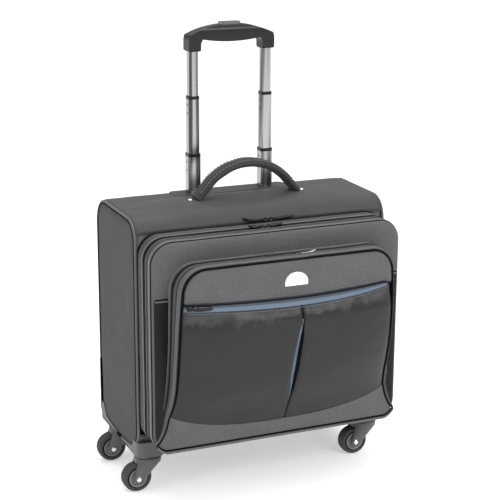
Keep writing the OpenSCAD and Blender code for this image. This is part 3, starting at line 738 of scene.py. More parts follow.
def stitches(name, points, across, body, slot="shell_fabric", length=3.2, gap=1.4, radius=0.42, closed=False,
             material=None):
    """A row of thread stitches along a path, each a short rounded bar half sunk in the cloth."""
    count = max(int(length_of(points, closed) / (length + gap)), 1)
    track = np.hstack([np.array(points, float), np.array(across, float)])
    fine = resample_by(track, count * 4 + (0 if closed else 1), closed)
    verts, faces = [], []
    total = len(fine)
    for k in range(count):
        a = fine[4 * k]
        b = fine[(4 * k + 3) % total]
        start, end, up = a[:3], b[:3], a[3:6]
        way = end - start
        size = np.linalg.norm(way)
        if size < 1e-6:
            continue
        way = way / size
        side = np.cross(way, up)
        first = len(verts)
        for share, k_r in ((0.0, 0.25), (0.15, 0.9), (0.5, 1.1), (0.85, 0.9), (1.0, 0.25)):
            for t in (0, 60, 120, 180, 240, 300):
                c, s = math.cos(math.radians(t)), math.sin(math.radians(t))
                thick = radius * k_r
                verts.append(start + way * size * share + side * thick * c + up * thick * (s + 0.35))
        for r in range(4):
            for j in range(6):
                q = (j + 1) % 6
                row = first + 6 * r
                faces.append((row + j, row + q, row + 6 + q, row + 6 + j))
        faces.append(tuple(first + j for j in range(6)))
        faces.append(tuple(first + 24 + j for j in reversed(range(6))))
    made = make(name, verts, faces, material or THREAD)
    return fit(made, body, slot)


def build_flap():
    """The lining panel of the main opening and the part of the gusset that stays on it."""
    depth = flap_y - lid_y
    materials = [LIT_SHELL, TAPE, HEM, DARK_TAPE]
    stations = [(0.4, -3, 3), (0.4, -0.6, 3), (1.4, 0.0, 3), (3.6, 0.2, 3), (5, 0.9, 1), (14, 0.9, 1),
                (22, 0.7, 1), (23.4, 0.9, 1), (24, 2.0, 2), (28.6, 2.0, 2), (29.2, 0.4, 3),
                (depth - 2.6, 0.1, 3), (depth - 0.6, -0.6, 3), (depth - 0.4, -3, 3)]
    ring("flap_gusset", bag, flap_y, stations, materials, "flap", "shell_fabric",
         ("organizer_gusset",), 0.5, 5)
    panel = round_box(-bag_half + 2, bag_bottom + 2, bag_half - 2, bag_top - 2,
                      [r - 2 for r in bag_radii], 200)
    verts = []
    shares = (1.0, 0.85, 0.65, 0.45, 0.25, 0.08, 0.03)
    for inset_share in shares:
        for x, z in panel:
            verts.append((x * inset_share, flap_y + 0.2 * (1 - inset_share) - 0.3,
                          bag_middle_z + (z - bag_middle_z) * inset_share))
    faces = grid_faces(len(shares), 200, False, True) + [tuple(range(len(verts) - 200, len(verts)))]
    made = make("flap_lining", verts, [tuple(reversed(f)) for f in faces], LINING)
    thicken(made, 2.4)
    fit(made, "flap", "lining", "flap_panel")
    n, along = bag_across, bag_along
    coil("main_zip_coil", ring_at(bag, flap_y + 0.1) + 0.5 * n, n, along, "flap", 2.0)
    coil("organizer_zip_coil", ring_at(bag, lid_y) + 0.5 * n, n, along, "flap", 2.2)
    stitches("flap_stitches", ring_at(bag, flap_y - 20.5) + 0.95 * n, n, "flap", closed=True)


def build_lid():
    """The swinging half of the organizer: gusset, welt and pillow-edged face."""
    depth = lid_y - face_y
    materials = [LIT_SHELL, TAPE, HEM, DARK_TAPE]
    stations = [(0.4, -3, 3), (0.4, -0.6, 3), (1.2, 0.0, 3), (3.0, 0.2, 3), (3.4, 1.5, 2), (6.4, 1.6, 2),
                (6.8, 0.2, 1), (16, 0.5, 1), (17, 0.9, 1), (17.6, 1.8, 2), (depth - 4.6, 1.9, 2),
                (depth - 3.8, 1.2, 2), (depth - 3.4, -1.2, 3)]
    ring("lid_gusset", bag, lid_y, stations, materials, "lid", "shell_fabric", ("organizer_panel",), 0.35, 9)
    # A near-black cord where the gusset meets the face: painted shadow of the groove there.
    cord_welt("lid_welt", bag, face_y + 2.2, 1.3, "lid", BLACK_AND_SHADE, lift=-0.4)
    stitches("lid_stitches", ring_at(bag, lid_y - 12.0) + 0.45 * bag_across, bag_across, "lid", closed=True)
    face_cushion("lid_face", 0, None, FACE, 9)
    face_cushion("lid_patch", 1.5, face_patch_top, DARK_SATIN, 2)


face_patch_top = 340.0


def face_y_at(x, z, inset, seed):
    """Y of the organizer's front face at a distance in from its edge."""
    p = (x, face_y, z)
    pillow = 4.6 * (1 - math.exp(-inset / 4.0))
    slack = 0.9 * ripple(p, 60, seed) + 0.4 * ripple(p, 22, seed)
    return face_y + 2.6 - pillow - min(inset / 20, 1) * slack


def face_cushion(name, lift, z_limit, material, seed):
    """Rings of cloth from the face's edge inwards. A patch stops at its limit height and lies on the face."""
    count = 360
    insets = [0.6, 1.6, 3, 5, 8, 12, 18, 26, 36, 50, 70, 90, 110, 130, 148, 160]
    if z_limit:
        insets = insets[2:11]
    verts, keep = [], []
    for inset in insets:
        outline = round_box(-bag_half + inset, bag_bottom + inset, bag_half - inset, bag_top - inset,
                            [max(r - inset, 2) for r in bag_radii], count)
        for x, z in outline:
            y = face_y_at(x, z, inset, 9) - lift
            if z_limit and z > z_limit:
                z = z_limit
            verts.append((x, y, z))
            keep.append(not z_limit or z < z_limit)
    if not z_limit:
        verts += [(x, y, bag_middle_z) for x, y, z in verts[-count:]]
        keep += [True] * count
    faces = grid_faces(len(verts) // count, count, False, True)
    faces = [f for f in faces if any(keep[k] for k in f)]
    made = make(name, verts, faces, material)
    thicken(made, 1.2)
    return fit(made, "lid", "pocket_fabric" if z_limit else "shell_fabric")


def lid_hems():
    """Light rolled hems on the patch pockets beside the front pocket, each with a near-black strip above it:
    painted shadow of the pocket's open top.
    """
    for side in (-1, 1):
        xs = np.linspace(side * (bag_half - 4), side * 168, 12)
        path = [(x, face_y_at(x, face_patch_top, min(bag_half - abs(x), 60), 9) - 2.2, face_patch_top + 0.5)
                for x in xs]
        hem_strip(f"patch_hem_{'left' if side < 0 else 'right'}", path, 2.4, HEM, "lid")
        # Near-black strip above the hem: painted shadow of the gap at the pocket's open top.
        above = [(x, y + 1.0, z + 1.9) for x, y, z in path]
        hem_strip(f"patch_gap_shade_{'left' if side < 0 else 'right'}", above, 1.6, BLACK_AND_SHADE, "lid")


def hem_strip(name, path, height, material, body):
    """A folded band that hangs from a path, rounded at its upper edge."""
    path = np.array(path, float)
    out = same(forward_way, len(path))
    up = same(up_way, len(path))
    section = [(-0.8, 0.3), (0.5, 0.6), (1.5, 0.0), (1.7, -1.4), (1.3, -height * 0.5), (1.5, -height + 1),
               (0.9, -height), (-0.8, -height)]
    made = sweep(name, path, out, up, section, material, closed=False)
    return fit(made, body, "pocket_fabric")


build_flap()
build_lid()
lid_hems()


# ---- Front pocket ----
pocket_corner = 38.0
pocket_edge_top = pocket_top + 2
corner_z = pocket_edge_top - pocket_corner
rear_half = 183.0


def edge_depth(z):
    """How far the pocket's front welt stands out from the organizer's face."""
    full = 46.0 * (1 - math.exp(-(z - 147.0) / 75.0)) if z > 147 else 0.0
    return math.hypot(full, 5.2)


def edge_half(z):
    """Half width of the pocket at its front welt."""
    if z < 150:
        return foot_half(z)
    if z > corner_z:
        return 176.5 - pocket_corner + math.sqrt(max(pocket_corner ** 2 - (z - corner_z) ** 2, 0.0))
    if z > 250:
        return 181 - 4.5 * ((z - 250) / (corner_z - 250)) ** 2
    if z > 200:
        return 181.0
    return min(181.0 + 0.0009 * (200 - z) ** 2.25, 208.0)


def rear_edge_half(z):
    """Half width of the pocket where its gusset leaves the organizer."""
    if z > corner_z:
        return 183.5 - pocket_corner + math.sqrt(max(pocket_corner ** 2 - (z - corner_z) ** 2, 0.0))
    return rear_half + 23.5 * (1 - math.exp(-1.3 * math.exp(-(z - 152) / 40)))


def middle_depth(z):
    """How far the stuffed pocket stands out along its middle line."""
    rise = 47.0 * (1 - math.exp(-(max(z - 108, 0) / 79) ** 1.75))
    settle = 6.0 * (max(z - 296, 0) / (pocket_edge_top - 296)) ** 1.2
    return 5.0 + rise - settle


def pocket_depth(x, z):
    """Depth of the pocket's front surface in front of the organizer's face."""
    half = max(edge_half(z), 1)
    u = min(abs(x) / half, 1)
    edge = edge_depth(z)
    near = min((half - abs(x)), (pocket_edge_top - z) * 1.0)
    pillow = 4.5 * (1 - math.exp(-max(near, 0) / 3.5)) - 1.5
    return edge + (middle_depth(z) - edge) * (1 - u ** 4) + min(pillow, 3.0)


def side_run(half_at, low, count=70):
    """(x, z) points up the left side, over the top and down the right side of the pocket."""
    zs = list(np.linspace(low, corner_z, count))
    left = [(-half_at(z), z) for z in zs]
    arc = []
    cx = half_at(corner_z) - pocket_corner
    for i in range(1, 25):
        a = math.radians(180 - 90 * i / 24)
        arc.append((-cx + pocket_corner * math.cos(a), corner_z + pocket_corner * math.sin(a)))
    half_line = left + arc
    return half_line + [(-x, z) for x, z in reversed(half_line)]


def strip_path(share, low=107.0, count=460):
    """3-D path on the gusset, share 0 at its rear seam and 1 at the front welt."""
    rear, front = side_run(rear_edge_half, low), side_run(edge_half, low)
    path = []
    for (xr, zr), (xf, zf) in zip(rear, front):
        depth = edge_depth(min(zf, 372.0))
        bow = 2.2 * math.sin(math.pi * share) * min(depth / 40, 1)
        x = xr + (xf - xr) * share
        z = zr + (zf - zr) * share
        length = math.hypot(x, max(z - corner_z + pocket_corner, 0)) or 1
        out_x = math.copysign(1.0, x) if z < corner_z else x / length
        out_z = 0.0 if z < corner_z else max(z - corner_z + pocket_corner, 0) / length
        path.append((x + bow * out_x, face_y - depth * share, z + bow * out_z))
    return resample(path, count, False)


def outward_of(path):
    """Directions out of the pocket's side, at right angles to a gusset path and to the depth."""
    flat = outward(np.stack([path[:, 0], path[:, 2]], 1)[::-1], False)[::-1]
    return np.stack([flat[:, 0], np.zeros(len(path)), flat[:, 1]], 1)


def gusset(name, shares, heights, marks, materials, body, node_name):
    """A strip of the pocket's side between two shares of its width, with its raised bands."""
    paths = [strip_path(s) for s in shares]
    out = outward_of(paths[len(paths) // 2])
    verts = []
    for i in range(len(paths[0])):
        for k, path in enumerate(paths):
            p = path[i]
            soft = 0.5 * ripple(p, 34, 7) + 0.25 * ripple(p, 13, 2)
            inner = 0 < k < len(paths) - 1
            verts.append(p + out[i] * (heights[k] + (soft if inner else 0)))
    columns = len(paths)
    made = make(name, verts, grid_faces(len(paths[0]), columns), materials)
    shades = [marks[k % (columns - 1)] for k in range(len(made.data.polygons))]
    made.data.polygons.foreach_set("material_index", shades)
    thicken(made, 1.6, 0)
    return fit(made, body, "shell_fabric", node_name)


def build_gusset():
    materials = [LIT_SHELL, TAPE, HEM, DARK_TAPE]
    gusset("pocket_rear_gusset", [0.0, 0.03, 0.12, 0.24, 0.27, 0.34, 0.42, 0.455],
           [-1.5, 0.2, 0.6, 0.5, 1.0, 0.2, 0.0, -1.2],
           [3, 0, 0, 1, 1, 3, 3], materials, "lid", "pocket_gusset")
    gusset("pocket_front_gusset",
           [0.465, 0.5, 0.58, 0.6, 0.66, 0.7, 0.78, 0.79, 0.84, 0.85, 0.88, 0.89, 0.94, 0.95, 1.0],
           [-1.2, 0.0, 0.2, 1.0, 1.0, 0.4, 0.5, 1.5, 1.5, 0.3, 0.3, 1.3, 1.3, 0.2, 0.0],
           [3, 1, 3, 1, 1, 3, 1, 2, 1, 3, 1, 2, 1, 3], materials, "pocket", "pocket_front")
    zip_line = strip_path(0.46)
    out = outward_of(zip_line)
    along = same(depth_way, len(out))
    teeth = np.array([k for k in range(len(zip_line)) if zip_line[k][2] > 170])
    coil("pocket_zip_coil", (zip_line + 0.3 * out)[teeth], out[teeth], along[teeth], "lid", 1.9, closed=False)
    rear = strip_path(0.0)
    rear_out = outward_of(rear)
    section = round_section(1.5, 0.8, sides=10)
    rear_welt = sweep("pocket_rear_seam", rear, rear_out, same(depth_way, len(rear)), section, HEM, False)
    fit(rear_welt, "lid", "welt")
    for share, tag in ((0.815, "outer"), (0.6, "inner")):
        line = strip_path(share)
        normal = outward_of(line)
        stitches(f"pocket_gusset_stitches_{tag}", line + 1.5 * normal, normal, "pocket")


def front_welt_path():
    return strip_path(1.0, 104.0, 520) + np.array([0, -1.0, 0])


def build_front_welt():
    path = front_welt_path()
    out = outward_of(path)
    along = same(depth_way, len(out))
    section = round_section(1.4, -0.1)
    # Near-black welt cord: painted shadow of the groove between the gusset and the pocket front.
    made = sweep("pocket_front_welt", path, out, along, section, BLACK_AND_SHADE, False)
    fit(made, "pocket", "welt", "pocket_front")
    light = round_section(0.8, 0.8, 2.5, sides=10)
    edge = sweep("pocket_front_edge", path, out, along, light, HEM, False)
    fit(edge, "pocket", "welt")


# The zip across the pocket: upper and lower edge of its leaf, and the hem below it
slit_gap = 8.6
leaf_low_x = 18.0
leaf_top_z, leaf_top_rise = 337.4, 5.6
leaf_foot_z, leaf_foot_rise_left, leaf_foot_rise_right = 323.8, 9.8, 14.0
hem_z, hem_rise = 305.0, 25.0


def leaf_upper(x):
    """A shallow hollow curve that turns down to close the leaf at its right end."""
    reach = 189.0 if x < leaf_low_x else 150.0
    closing = 0.0112 * max(x - 155, 0) ** 2
    return leaf_top_z + leaf_top_rise * (abs(x - leaf_low_x) / reach) ** 1.5 - closing


def leaf_lower(x):
    """A deeper hollow curve that stays just under the upper one."""
    if x < 0:
        return leaf_foot_z + leaf_foot_rise_left * (-x / 176) ** 1.5
    return min(leaf_foot_z + leaf_foot_rise_right * (x / 170) ** 2.4, leaf_upper(x) - 0.6)


def hem_lower(x):
    share = min(max((abs(x) - 50) / 120, 0), 1)
    return hem_z + hem_rise * share * share * (3 - 2 * share)


def smile(x):
    """Height of the seam above the pocket's flat lower band."""
    t = min(abs(x) / 186.0, 1.0)
    return 121.5 + 30.5 * t ** 2.6


def slit_left(z):
    """Left lip of the upright slit below the zip. The slit gapes between its two ends."""
    share = min(max((z - 138) / 159, 0), 1)
    return slit_right(z) - 0.6 - slit_gap * math.sin(math.pi * share ** 1.25)


def slit_right(z):
    """Right lip: a straight slope with a slight bow."""
    share = min(max((z - 118) / 206, 0), 1)
    return 7.8 + 11.4 * share + 2.0 * math.sin(math.pi * share * share)


def patch(name, left, right, low, high, depth, columns, rows, material, body="pocket", slot="pocket_fabric",
          thickness=1.6, lining=None):
    """A grid of cloth between two side curves and a lower and an upper curve. Depth gives its place."""
    verts = []
    for i in range(rows):
        t = i / (rows - 1)
        for j in range(columns):
            s = j / (columns - 1)
            x, z = 0.0, low(0.0) + (high(0.0) - low(0.0)) * t
            for _ in range(6):
                x = left(z) + (right(z) - left(z)) * s
                z = low(x) + (high(x) - low(x)) * t
            verts.append((x, face_y - depth(x, z, s, t), z))
    made = make(name, verts, [tuple(reversed(f)) for f in grid_faces(rows, columns)],
                [material, lining or DARK_SATIN])
    flip_to_front(made)
    if thickness:
        thicken(made, thickness, 1)
    return fit(made, body, slot)


def flip_to_front(made):
    """Turns all faces so that most of them look forwards."""
    if sum(p.normal.y for p in made.data.polygons) > 0:
        made.data.flip_normals()


def folds(x, z, seed, size=1.0):
    """Soft sag lines of slack cloth, stronger away from the welts."""
    a = ripple((x * 0.55, 0, z * 1.5), 62, seed)
    b = ripple((x * 0.8, 0, z * 1.3), 24, seed + 5)
    return size * (1.5 * a + 0.5 * b)


def lip(near, depth=3.0, width=2.6):
    """How far an edge rolls back, given the distance to it."""
    return depth * math.exp(-max(near, 0) / width)


def left_edge(z):
    return -edge_half(z)


def tape_patch(name, low, high, depth, columns, rows, material):
    """A length of zip tape between two curves, from one end of the leaf to the other."""
    return patch(name, lambda z: -edge_half(z) + 1, lambda z: edge_half(z) - 12, low, high, depth, columns, rows,
                 material, thickness=0.8)


def build_front():
    def upper(x, z, s, t):
        near = z - leaf_upper(x)
        return pocket_depth(x, z) + 0.6 * folds(x, z, 3, 0.6) - lip(near, 3.0)

    def lower(side):
        def depth(x, z, s, t):
            slit = slit_left(z) if side < 0 else slit_right(z)
            near_slit = (slit - x) if side < 0 else (x - slit)
            open_by = slit_right(z) - slit_left(z)
            near_top = leaf_lower(x) - z
            near_low = z - smile(x)
            fullness = 2.5 * min(open_by / 12, 1) if side > 0 else 0.8
            puff = fullness * math.exp(-near_slit / 9)
            free = 1 - math.exp(-min(near_low, edge_half(z) - abs(x)) / 14)
            deep = hem_lower(x) - z
            roll = 10.0 * math.exp(-(max(near_top - 4, 0) / 17) ** 1.6)
            roll -= 2.6 * math.exp(-((deep + 6) / 13) ** 2)
            crumple = 1.3 * math.exp(-(deep / 16) ** 2) * ripple((x, 0, z * 0.8), 17, side * 3 + 9)
            slack = free * folds(x, z, 11 if side < 0 else 17, 1.0)
            return (pocket_depth(x, z) + slack + puff + crumple - roll
                    - lip(near_slit, 2.0 + 0.35 * open_by) - lip(near_low, 0.8, 3.0))
        return depth

    patch("pocket_upper_panel", left_edge, edge_half, leaf_upper, lambda x: pocket_edge_top, upper,
          120, 26, FACE)
    patch("pocket_lower_left", left_edge, slit_left, smile, leaf_lower, lower(-1), 90, 90, SATIN)
    patch("pocket_lower_right", slit_right, edge_half, smile, leaf_lower, lower(1), 80, 90, SATIN)

    def tape(x, z, s, t):
        return pocket_depth(x, z) - 1.6 - 0.8 * t

    def tape_light(x, z, s, t):
        return pocket_depth(x, z) - 0.9 + 0.6 * math.sin(math.pi * t)

    def split(x):
        return leaf_lower(x) + 0.5 * (leaf_upper(x) - leaf_lower(x))

    def shade(x):
        return leaf_lower(x) + 0.84 * (leaf_upper(x) - leaf_lower(x))

    # The tape's upper strip is darker: painted shadow.
    tape_patch("zip_shadow_tape", shade, lambda x: leaf_upper(x) + 2.0, tape, 120, 4, SHADOW_BLUE)
    tape_patch("zip_blue_tape", split, shade, tape_light, 140, 6, BLUE)
    tape_patch("zip_light_tape", lambda x: leaf_lower(x) - 1, split, tape_light, 140, 6, PALE_BLUE_AND_LIT)
    xs = np.linspace(-edge_half(338) + 3, edge_half(338) - 13, 300)
    line = np.array([(x, face_y - pocket_depth(x, shade(x)) + 0.2, shade(x) + 0.3) for x in xs])
    out = same(forward_way, len(line))
    up = same(up_way, len(line))
    coil("front_zip_coil", line, out, up, "pocket", 1.3, closed=False)

    def liner_left(x, z, s, t):
        return pocket_depth(x, z) - 2.0 - 7.0 * s * min((slit_right(z) - slit_left(z)) / 14, 1)

    def liner_right(x, z, s, t):
        return pocket_depth(x, z) - 2.0 - 7.0 * (1 - s) * min((slit_right(z) - slit_left(z)) / 14, 1)

    def slit_middle(z):
        return slit_left(z) + 0.6 * (slit_right(z) - slit_left(z))

    # The liner is one blue cloth: its pale left facet is a painted highlight, its near-black right facet is painted
    # shade.
    patch("slit_liner_left", lambda z: slit_left(z) - 1.5, slit_middle, lambda x: 138.0, lambda x: 300.0,
          liner_left, 8, 60, PALE_BLUE_AND_LIT, thickness=0.6)
    patch("slit_liner_right", slit_middle, lambda z: slit_right(z) + 1.5, lambda x: 138.0, lambda x: 300.0,
          liner_right, 8, 60, BLACK_AND_SHADE, thickness=0.6)

    def band(x, z, s, t):
        inner = max(pocket_depth(min(abs(x), 184), smile(x)) - 0.8, 6.0)
        wide = min(max(abs(x) - 182, 0) / 24, 1)
        return 5.4 + (inner - 5.4) * t ** 1.3 * (1 - wide) + 0.4 * folds(x, z, 21, 0.6) * t

    patch("pocket_foot_band", lambda z: -foot_half(z), foot_half, foot_line, smile, band,
          150, 22, FACE)
    band_edge()


def foot_half(z):
    """Half width of the pocket's foot, which narrows upwards in a hollow curve."""
    return 183.0 + 24.5 * math.exp(-max(z - 106, 0) / 24.8)


def foot_line(x):
    """The pocket's lower edge, with round corners at its ends."""
    over = max(abs(x) - 188, 0)
    return 92.0 + 0.035 * over ** 2


def band_edge():
    """The double line of the lower edge: a welt, and above it a near-black cord as painted shadow of the groove
    over the welt.
    """
    xs = np.linspace(-207, 207, 260)
    line = np.array([(x, face_y - 5.4, foot_line(x) + 0.5) for x in xs])
    out = same(forward_way, len(line))
    up = same(up_way, len(line))
    section = round_section(2.2, 1.0)
    fit(sweep("pocket_foot_welt", line, out, up, section, WELT, False), "pocket", "welt", "pocket_front")
    above = line + np.array([0, -0.2, 3.6])
    # Near-black cord above the welt: painted shadow of the groove.
    dark = round_section(1.3, 0.2, sides=8)
    fit(sweep("pocket_foot_shade_line", above, out, up, dark, BLACK_AND_SHADE, False), "pocket", "welt")


def front_stitches():
    """Rows of thread above and below the zip."""
    xs = np.linspace(-edge_half(345) + 6, edge_half(345) - 8, 220)
    out = same(forward_way, len(xs))
    over = np.array([(x, face_y - pocket_depth(x, leaf_upper(x) + 4.5), leaf_upper(x) + 4.5) for x in xs])
    stitches("zip_stitches_over", over, out, "pocket")
    under = np.array([(x, face_y - pocket_depth(x, leaf_lower(x) - 3) - 2.0, leaf_lower(x) - 3.0)
                      for x in xs])
    stitches("zip_stitches_under", under, out, "pocket")


build_gusset()
build_front_welt()
build_front()
front_stitches()


# ---- Zip sliders ----
def loft(name, rings, material, closed_ends=True):
    """A skin over rings of points, all with the same count."""
    count = len(rings[0])
    verts = [p for r in rings for p in r]
    faces = grid_faces(len(rings), count, False, True)
    if closed_ends:
        faces.append(tuple(reversed(range(count))))
        faces.append(tuple(range(len(verts) - count, len(verts))))
    made = make(name, verts, faces, material)
    return made


def pill(center, axes, sizes, power=2.6, rings=9, sides=16):
    """Points of a rounded block (a superellipsoid) around a centre, for parts cast in metal."""
    made = []
    for i in range(rings):
        lat = math.pi * (i + 0.5) / rings - math.pi / 2
        ring_points = []
        for j in range(sides):
            lon = 2 * math.pi * j / sides
            values = (signed_power(math.cos(lat), 2 / power) * signed_power(math.cos(lon), 2 / power),
                      signed_power(math.cos(lat), 2 / power) * signed_power(math.sin(lon), 2 / power),
                      signed_power(math.sin(lat), 2 / power))
            point = np.array(center, float)
            for v, axis, size in zip(values, axes, sizes):
                point = point + np.array(axis, float) * v * size / 2
            ring_points.append(point)
        made.append(ring_points)
    return made


def signed_power(v, p):
    return math.copysign(abs(v) ** p, v)


def slider(name, node_name, body, place, way, out, pull_l, pull_curl, pull_material, body_material=None):
    """A zip slider: body, bridge and a puller that lies along the zip and lifts at its end."""
    place, way, out = (np.array(v, float) for v in (place, way, out))
    side = np.cross(way, out)
    metal_finish = body_material or BLACK_LACQUER_AND_SHADE
    parts = []
    base = loft(name, pill(place + out * 1.6 - way * 4, (way, side, out), (11, 7.6, 3.6), 3.2), metal_finish)
    crest = pill(place + out * 3.6 - way * 4.4, (way, side, out), (8.6, 5.6, 2.0), 3.0)
    top = loft(name + "_top", crest, metal_finish)
    path, lifts = [], []
    for i in range(9):
        t = i / 8
        path.append(place - way * (7.6 - 7 * t) + out * (4.2 + 2.1 * math.sin(math.pi * t)))
        lifts.append(out)
    bridge = sweep(name + "_bridge", path, np.tile(side, (9, 1)), lifts,
                   [(1.2 * math.cos(a), 0.7 * math.sin(a)) for a in np.linspace(0, 2 * math.pi, 8, endpoint=False)],
                   metal_finish, False)
    parts += [base, top, bridge]
    steps = 26
    path, normals, widths = [], [], []
    for i in range(steps):
        t = i / (steps - 1)
        rise = 4.4 + pull_curl * t ** 5
        path.append(place + way * (-3 + pull_l * t) + out * rise)
        slope = 5 * pull_curl * t ** 4 / pull_l
        normal = out - way * slope
        normals.append(normal / np.linalg.norm(normal))
        waist = 1.6 if t > 0.93 else 0.9 if t < 0.1 else 0
        widths.append(3.1 + 1.0 * math.sin(math.pi * min(t * 1.2, 1)) - waist)

    def section(i):
        w = widths[i]
        h = 0.8 + (0.5 if 0.3 < i / steps < 0.92 else 0)
        grip = 0.25 if (i % 3 == 0 and 8 < i < 22) else 0
        return [(-w, 0), (-w * 0.9, h + grip), (0, h + 0.2 + grip), (w * 0.9, h + grip),
                (w, 0), (w * 0.9, -h), (-w * 0.9, -h)]

    pull = sweep(name + "_pull", path, np.tile(side, (steps, 1)), normals, section, pull_material, False)
    joined = join(name, parts)
    pull.name = name + "_pull"
    tidy_normals(joined)
    tidy_normals(pull)
    fit(joined, body, "zip_metal", node_name)
    fit(pull, body, "zip_metal", node_name)


def build_sliders():
    up = (0, 0, 1)
    light = STEEL
    settings = (
        ("main_slider_left", 0, -1, 34, 5.0, BLACK_LACQUER_AND_SHADE), ("main_slider_right", 0, 1, 34, 1.0, BLACK_LACQUER_AND_SHADE),
        ("organizer_slider_left", 1, -1, 20, 3.0, BLACK_LACQUER_AND_SHADE),
        ("organizer_slider_right", 1, 1, 20, 2.0, BLACK_LACQUER_AND_SHADE),
        # The right puller of the pocket pair is plated steel beside a black lacquer twin: painted highlight on the
        # flat-lying puller.
        ("pocket_slider_left", 2, -1, 34, 3.0, BLACK_LACQUER_AND_SHADE), ("pocket_slider_right", 2, 1, 34, 4.0, light),
    )
    for node_name, _, side, pull, curl, finish in settings:
        low, high = box(node_name)
        x = high[0] if side < 0 else low[0]
        place = (x + side * 7, (low[1] + high[1]) / 2, low[2] - 0.6)
        slider(node_name + "_cast", node_name, node_name, place, (side, 0, 0), up, pull + 3, curl, finish)
    low, high = box("front_slider")
    x = low[0] + 6
    z = (leaf_lower(x) + leaf_upper(x)) / 2
    place = (x + 3, face_y - pocket_depth(x + 4, z) - 0.4, z)
    slider("front_slider_cast", "front_slider", "front_slider", place, (1, 0, -0.06), (0, -1, 0),
           34, 2.0, BLACK_LACQUER_AND_SHADE)


build_sliders()


# ---- Carry handle ----
strap_lift = 8.0


def strap_path(count=120):
    """Middle line of the carry handle: flat sewn ends, a bend and the arch between them."""
    hinge_z = case_top + 27
    span, rise = 148.0, 38.0
    r = ((span / 2) ** 2 + rise ** 2) / (2 * rise)
    cz = hinge_z + rise - r
    sweep_angle = math.asin(span / 2 / r)
    foot = case_top + strap_lift
    points = [(-88.0, foot + 3.6), (-85.0, foot + 7.0), (-80.5, foot + 12.2)]
    for i in range(31):
        a = math.pi / 2 + sweep_angle - 2 * sweep_angle * i / 30
        points.append((r * math.cos(a), cz + r * math.sin(a)))
    points += [(-x, z) for x, z in reversed(points[:3])]
    return resample(points, count, False)


def build_strap():
    low, high = box("carry_handle")
    y = (low[1] + high[1]) / 2
    path = strap_path()
    n = outward(path, False)
    out = -np.stack([n[:, 0], np.zeros(len(n)), n[:, 1]], 1)
    if out[len(out) // 2][2] < 0:
        out = -out
    along = same(depth_way, len(path))
    points = np.stack([path[:, 0], np.full(len(path), y), path[:, 1]], 1)
    steps = len(path)

    def section(i):
        t = min(i, steps - 1 - i) / steps
        thick = 6.6 + 1.0 * min(max((t - 0.02) / 0.12, 0), 1)
        width = 16.0 + 0.6 * math.sin(i * 1.7)
        pad = thick
        flat = 1.5
        front = [(-pad * 0.85, -width * 0.55), (-pad * 0.5, -width * 0.85), (-flat * 0.6, -width * 0.98),
                 (flat * 0.4, -width), (pad * 0.55, -width * 0.84), (pad * 0.92, -width * 0.5)]
        return front + [(pad, 0.0)] + [(a, -b) for a, b in reversed(front)] + [(-pad * 0.92, 0.0)]

    strap = sweep("carry_strap", points, out, along, section, HANDLE, False)
    tidy_normals(strap)
    smooth = strap.modifiers.new("smooth", "SUBSURF")
    smooth.levels = smooth.render_levels = 1
    apply_modifiers(strap)
    wrinkle(strap, 0.5, 16, 4)
    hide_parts("carry_handle")
    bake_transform(strap)
    strap_stitches(path, out, y)
    for side in (-1, 1):
        pad_x = [v for v in np.linspace(side * 78, side * 122, 12)]
        line = np.array([(x, y, case_top + 1.6 + crown(x, y)) for x in pad_x])
        section_tab = [(1.2, -17), (1.4, -16), (1.4, 16), (1.2, 17), (-1.4, 17), (-1.4, -17)]
        tab = sweep(f"anchor_tab_{'left' if side < 0 else 'right'}", line, same(up_way, 12),
                    same(depth_way, 12), section_tab, DARK_TAPE, False)
        tidy_normals(tab)
        fit(tab, "case", "handle_fabric", "handle_anchors")
        rivet(side, y)


def rivet(side, y):
    """A domed rivet through the sewn end of the carry handle."""
    x = side * 98.0
    base = case_top + 3.0 + crown(x, y)
    rows = [(4.6, -3.0), (4.6, 0.4), (4.1, 1.3), (3.0, 2.1), (1.6, 2.6), (0.2, 2.8)]
    verts = [(px, py, base + h) for r, h in rows for px, py in round_section(r, x, y, sides=28)]
    tag = "left" if side < 0 else "right"
    made = make(f"strap_rivet_{tag}", verts, grid_faces(len(rows), 28, False, True), CHROME)
    tidy_normals(made)
    return fit(made, "case", "bright_steel", "anchor_rivets")


def strap_stitches(path, out, y):
    """Two rows of thread along the padded strap; they bend with it."""
    for side in (-1, 1):
        line = []
        for i in range(6, len(path) - 6):
            line.append((path[i][0] + out[i][0] * 5.6, y + side * 12.4, path[i][1] + out[i][2] * 5.6))
        tag = "front" if side < 0 else "back"
        row = stitches(f"strap_stitches_{tag}", line, out[6:-6], "case", "handle_fabric",
                       length=4.2, gap=2.0, radius=0.55)
        unride(row)
        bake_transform(row)


def unride(piece):
    """Frees a piece from its body."""
    place = piece.matrix_world.copy()
    piece.parent = None
    piece.matrix_world = place
    for key in ("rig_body",):
        if key in piece:
            del piece[key]


def apply_modifiers(made):
    """Makes the modified shape the mesh itself."""
    bpy.context.view_layer.update()
    got = made.evaluated_get(bpy.context.evaluated_depsgraph_get())
    mesh = bpy.data.meshes.new_from_object(got)
    made.modifiers.clear()
    made.data = mesh


def wrinkle(made, height, size, seed):
    """Small soft dents along the normals of a finished mesh."""
    mesh = made.data
    normals = [v.normal.copy() for v in mesh.vertices]
    for v, n in zip(mesh.vertices, normals):
        p = (v.co.x / MM, v.co.y / MM, v.co.z / MM)
        v.co += n * (height * MM * ripple(p, size, seed))
    mesh.update()


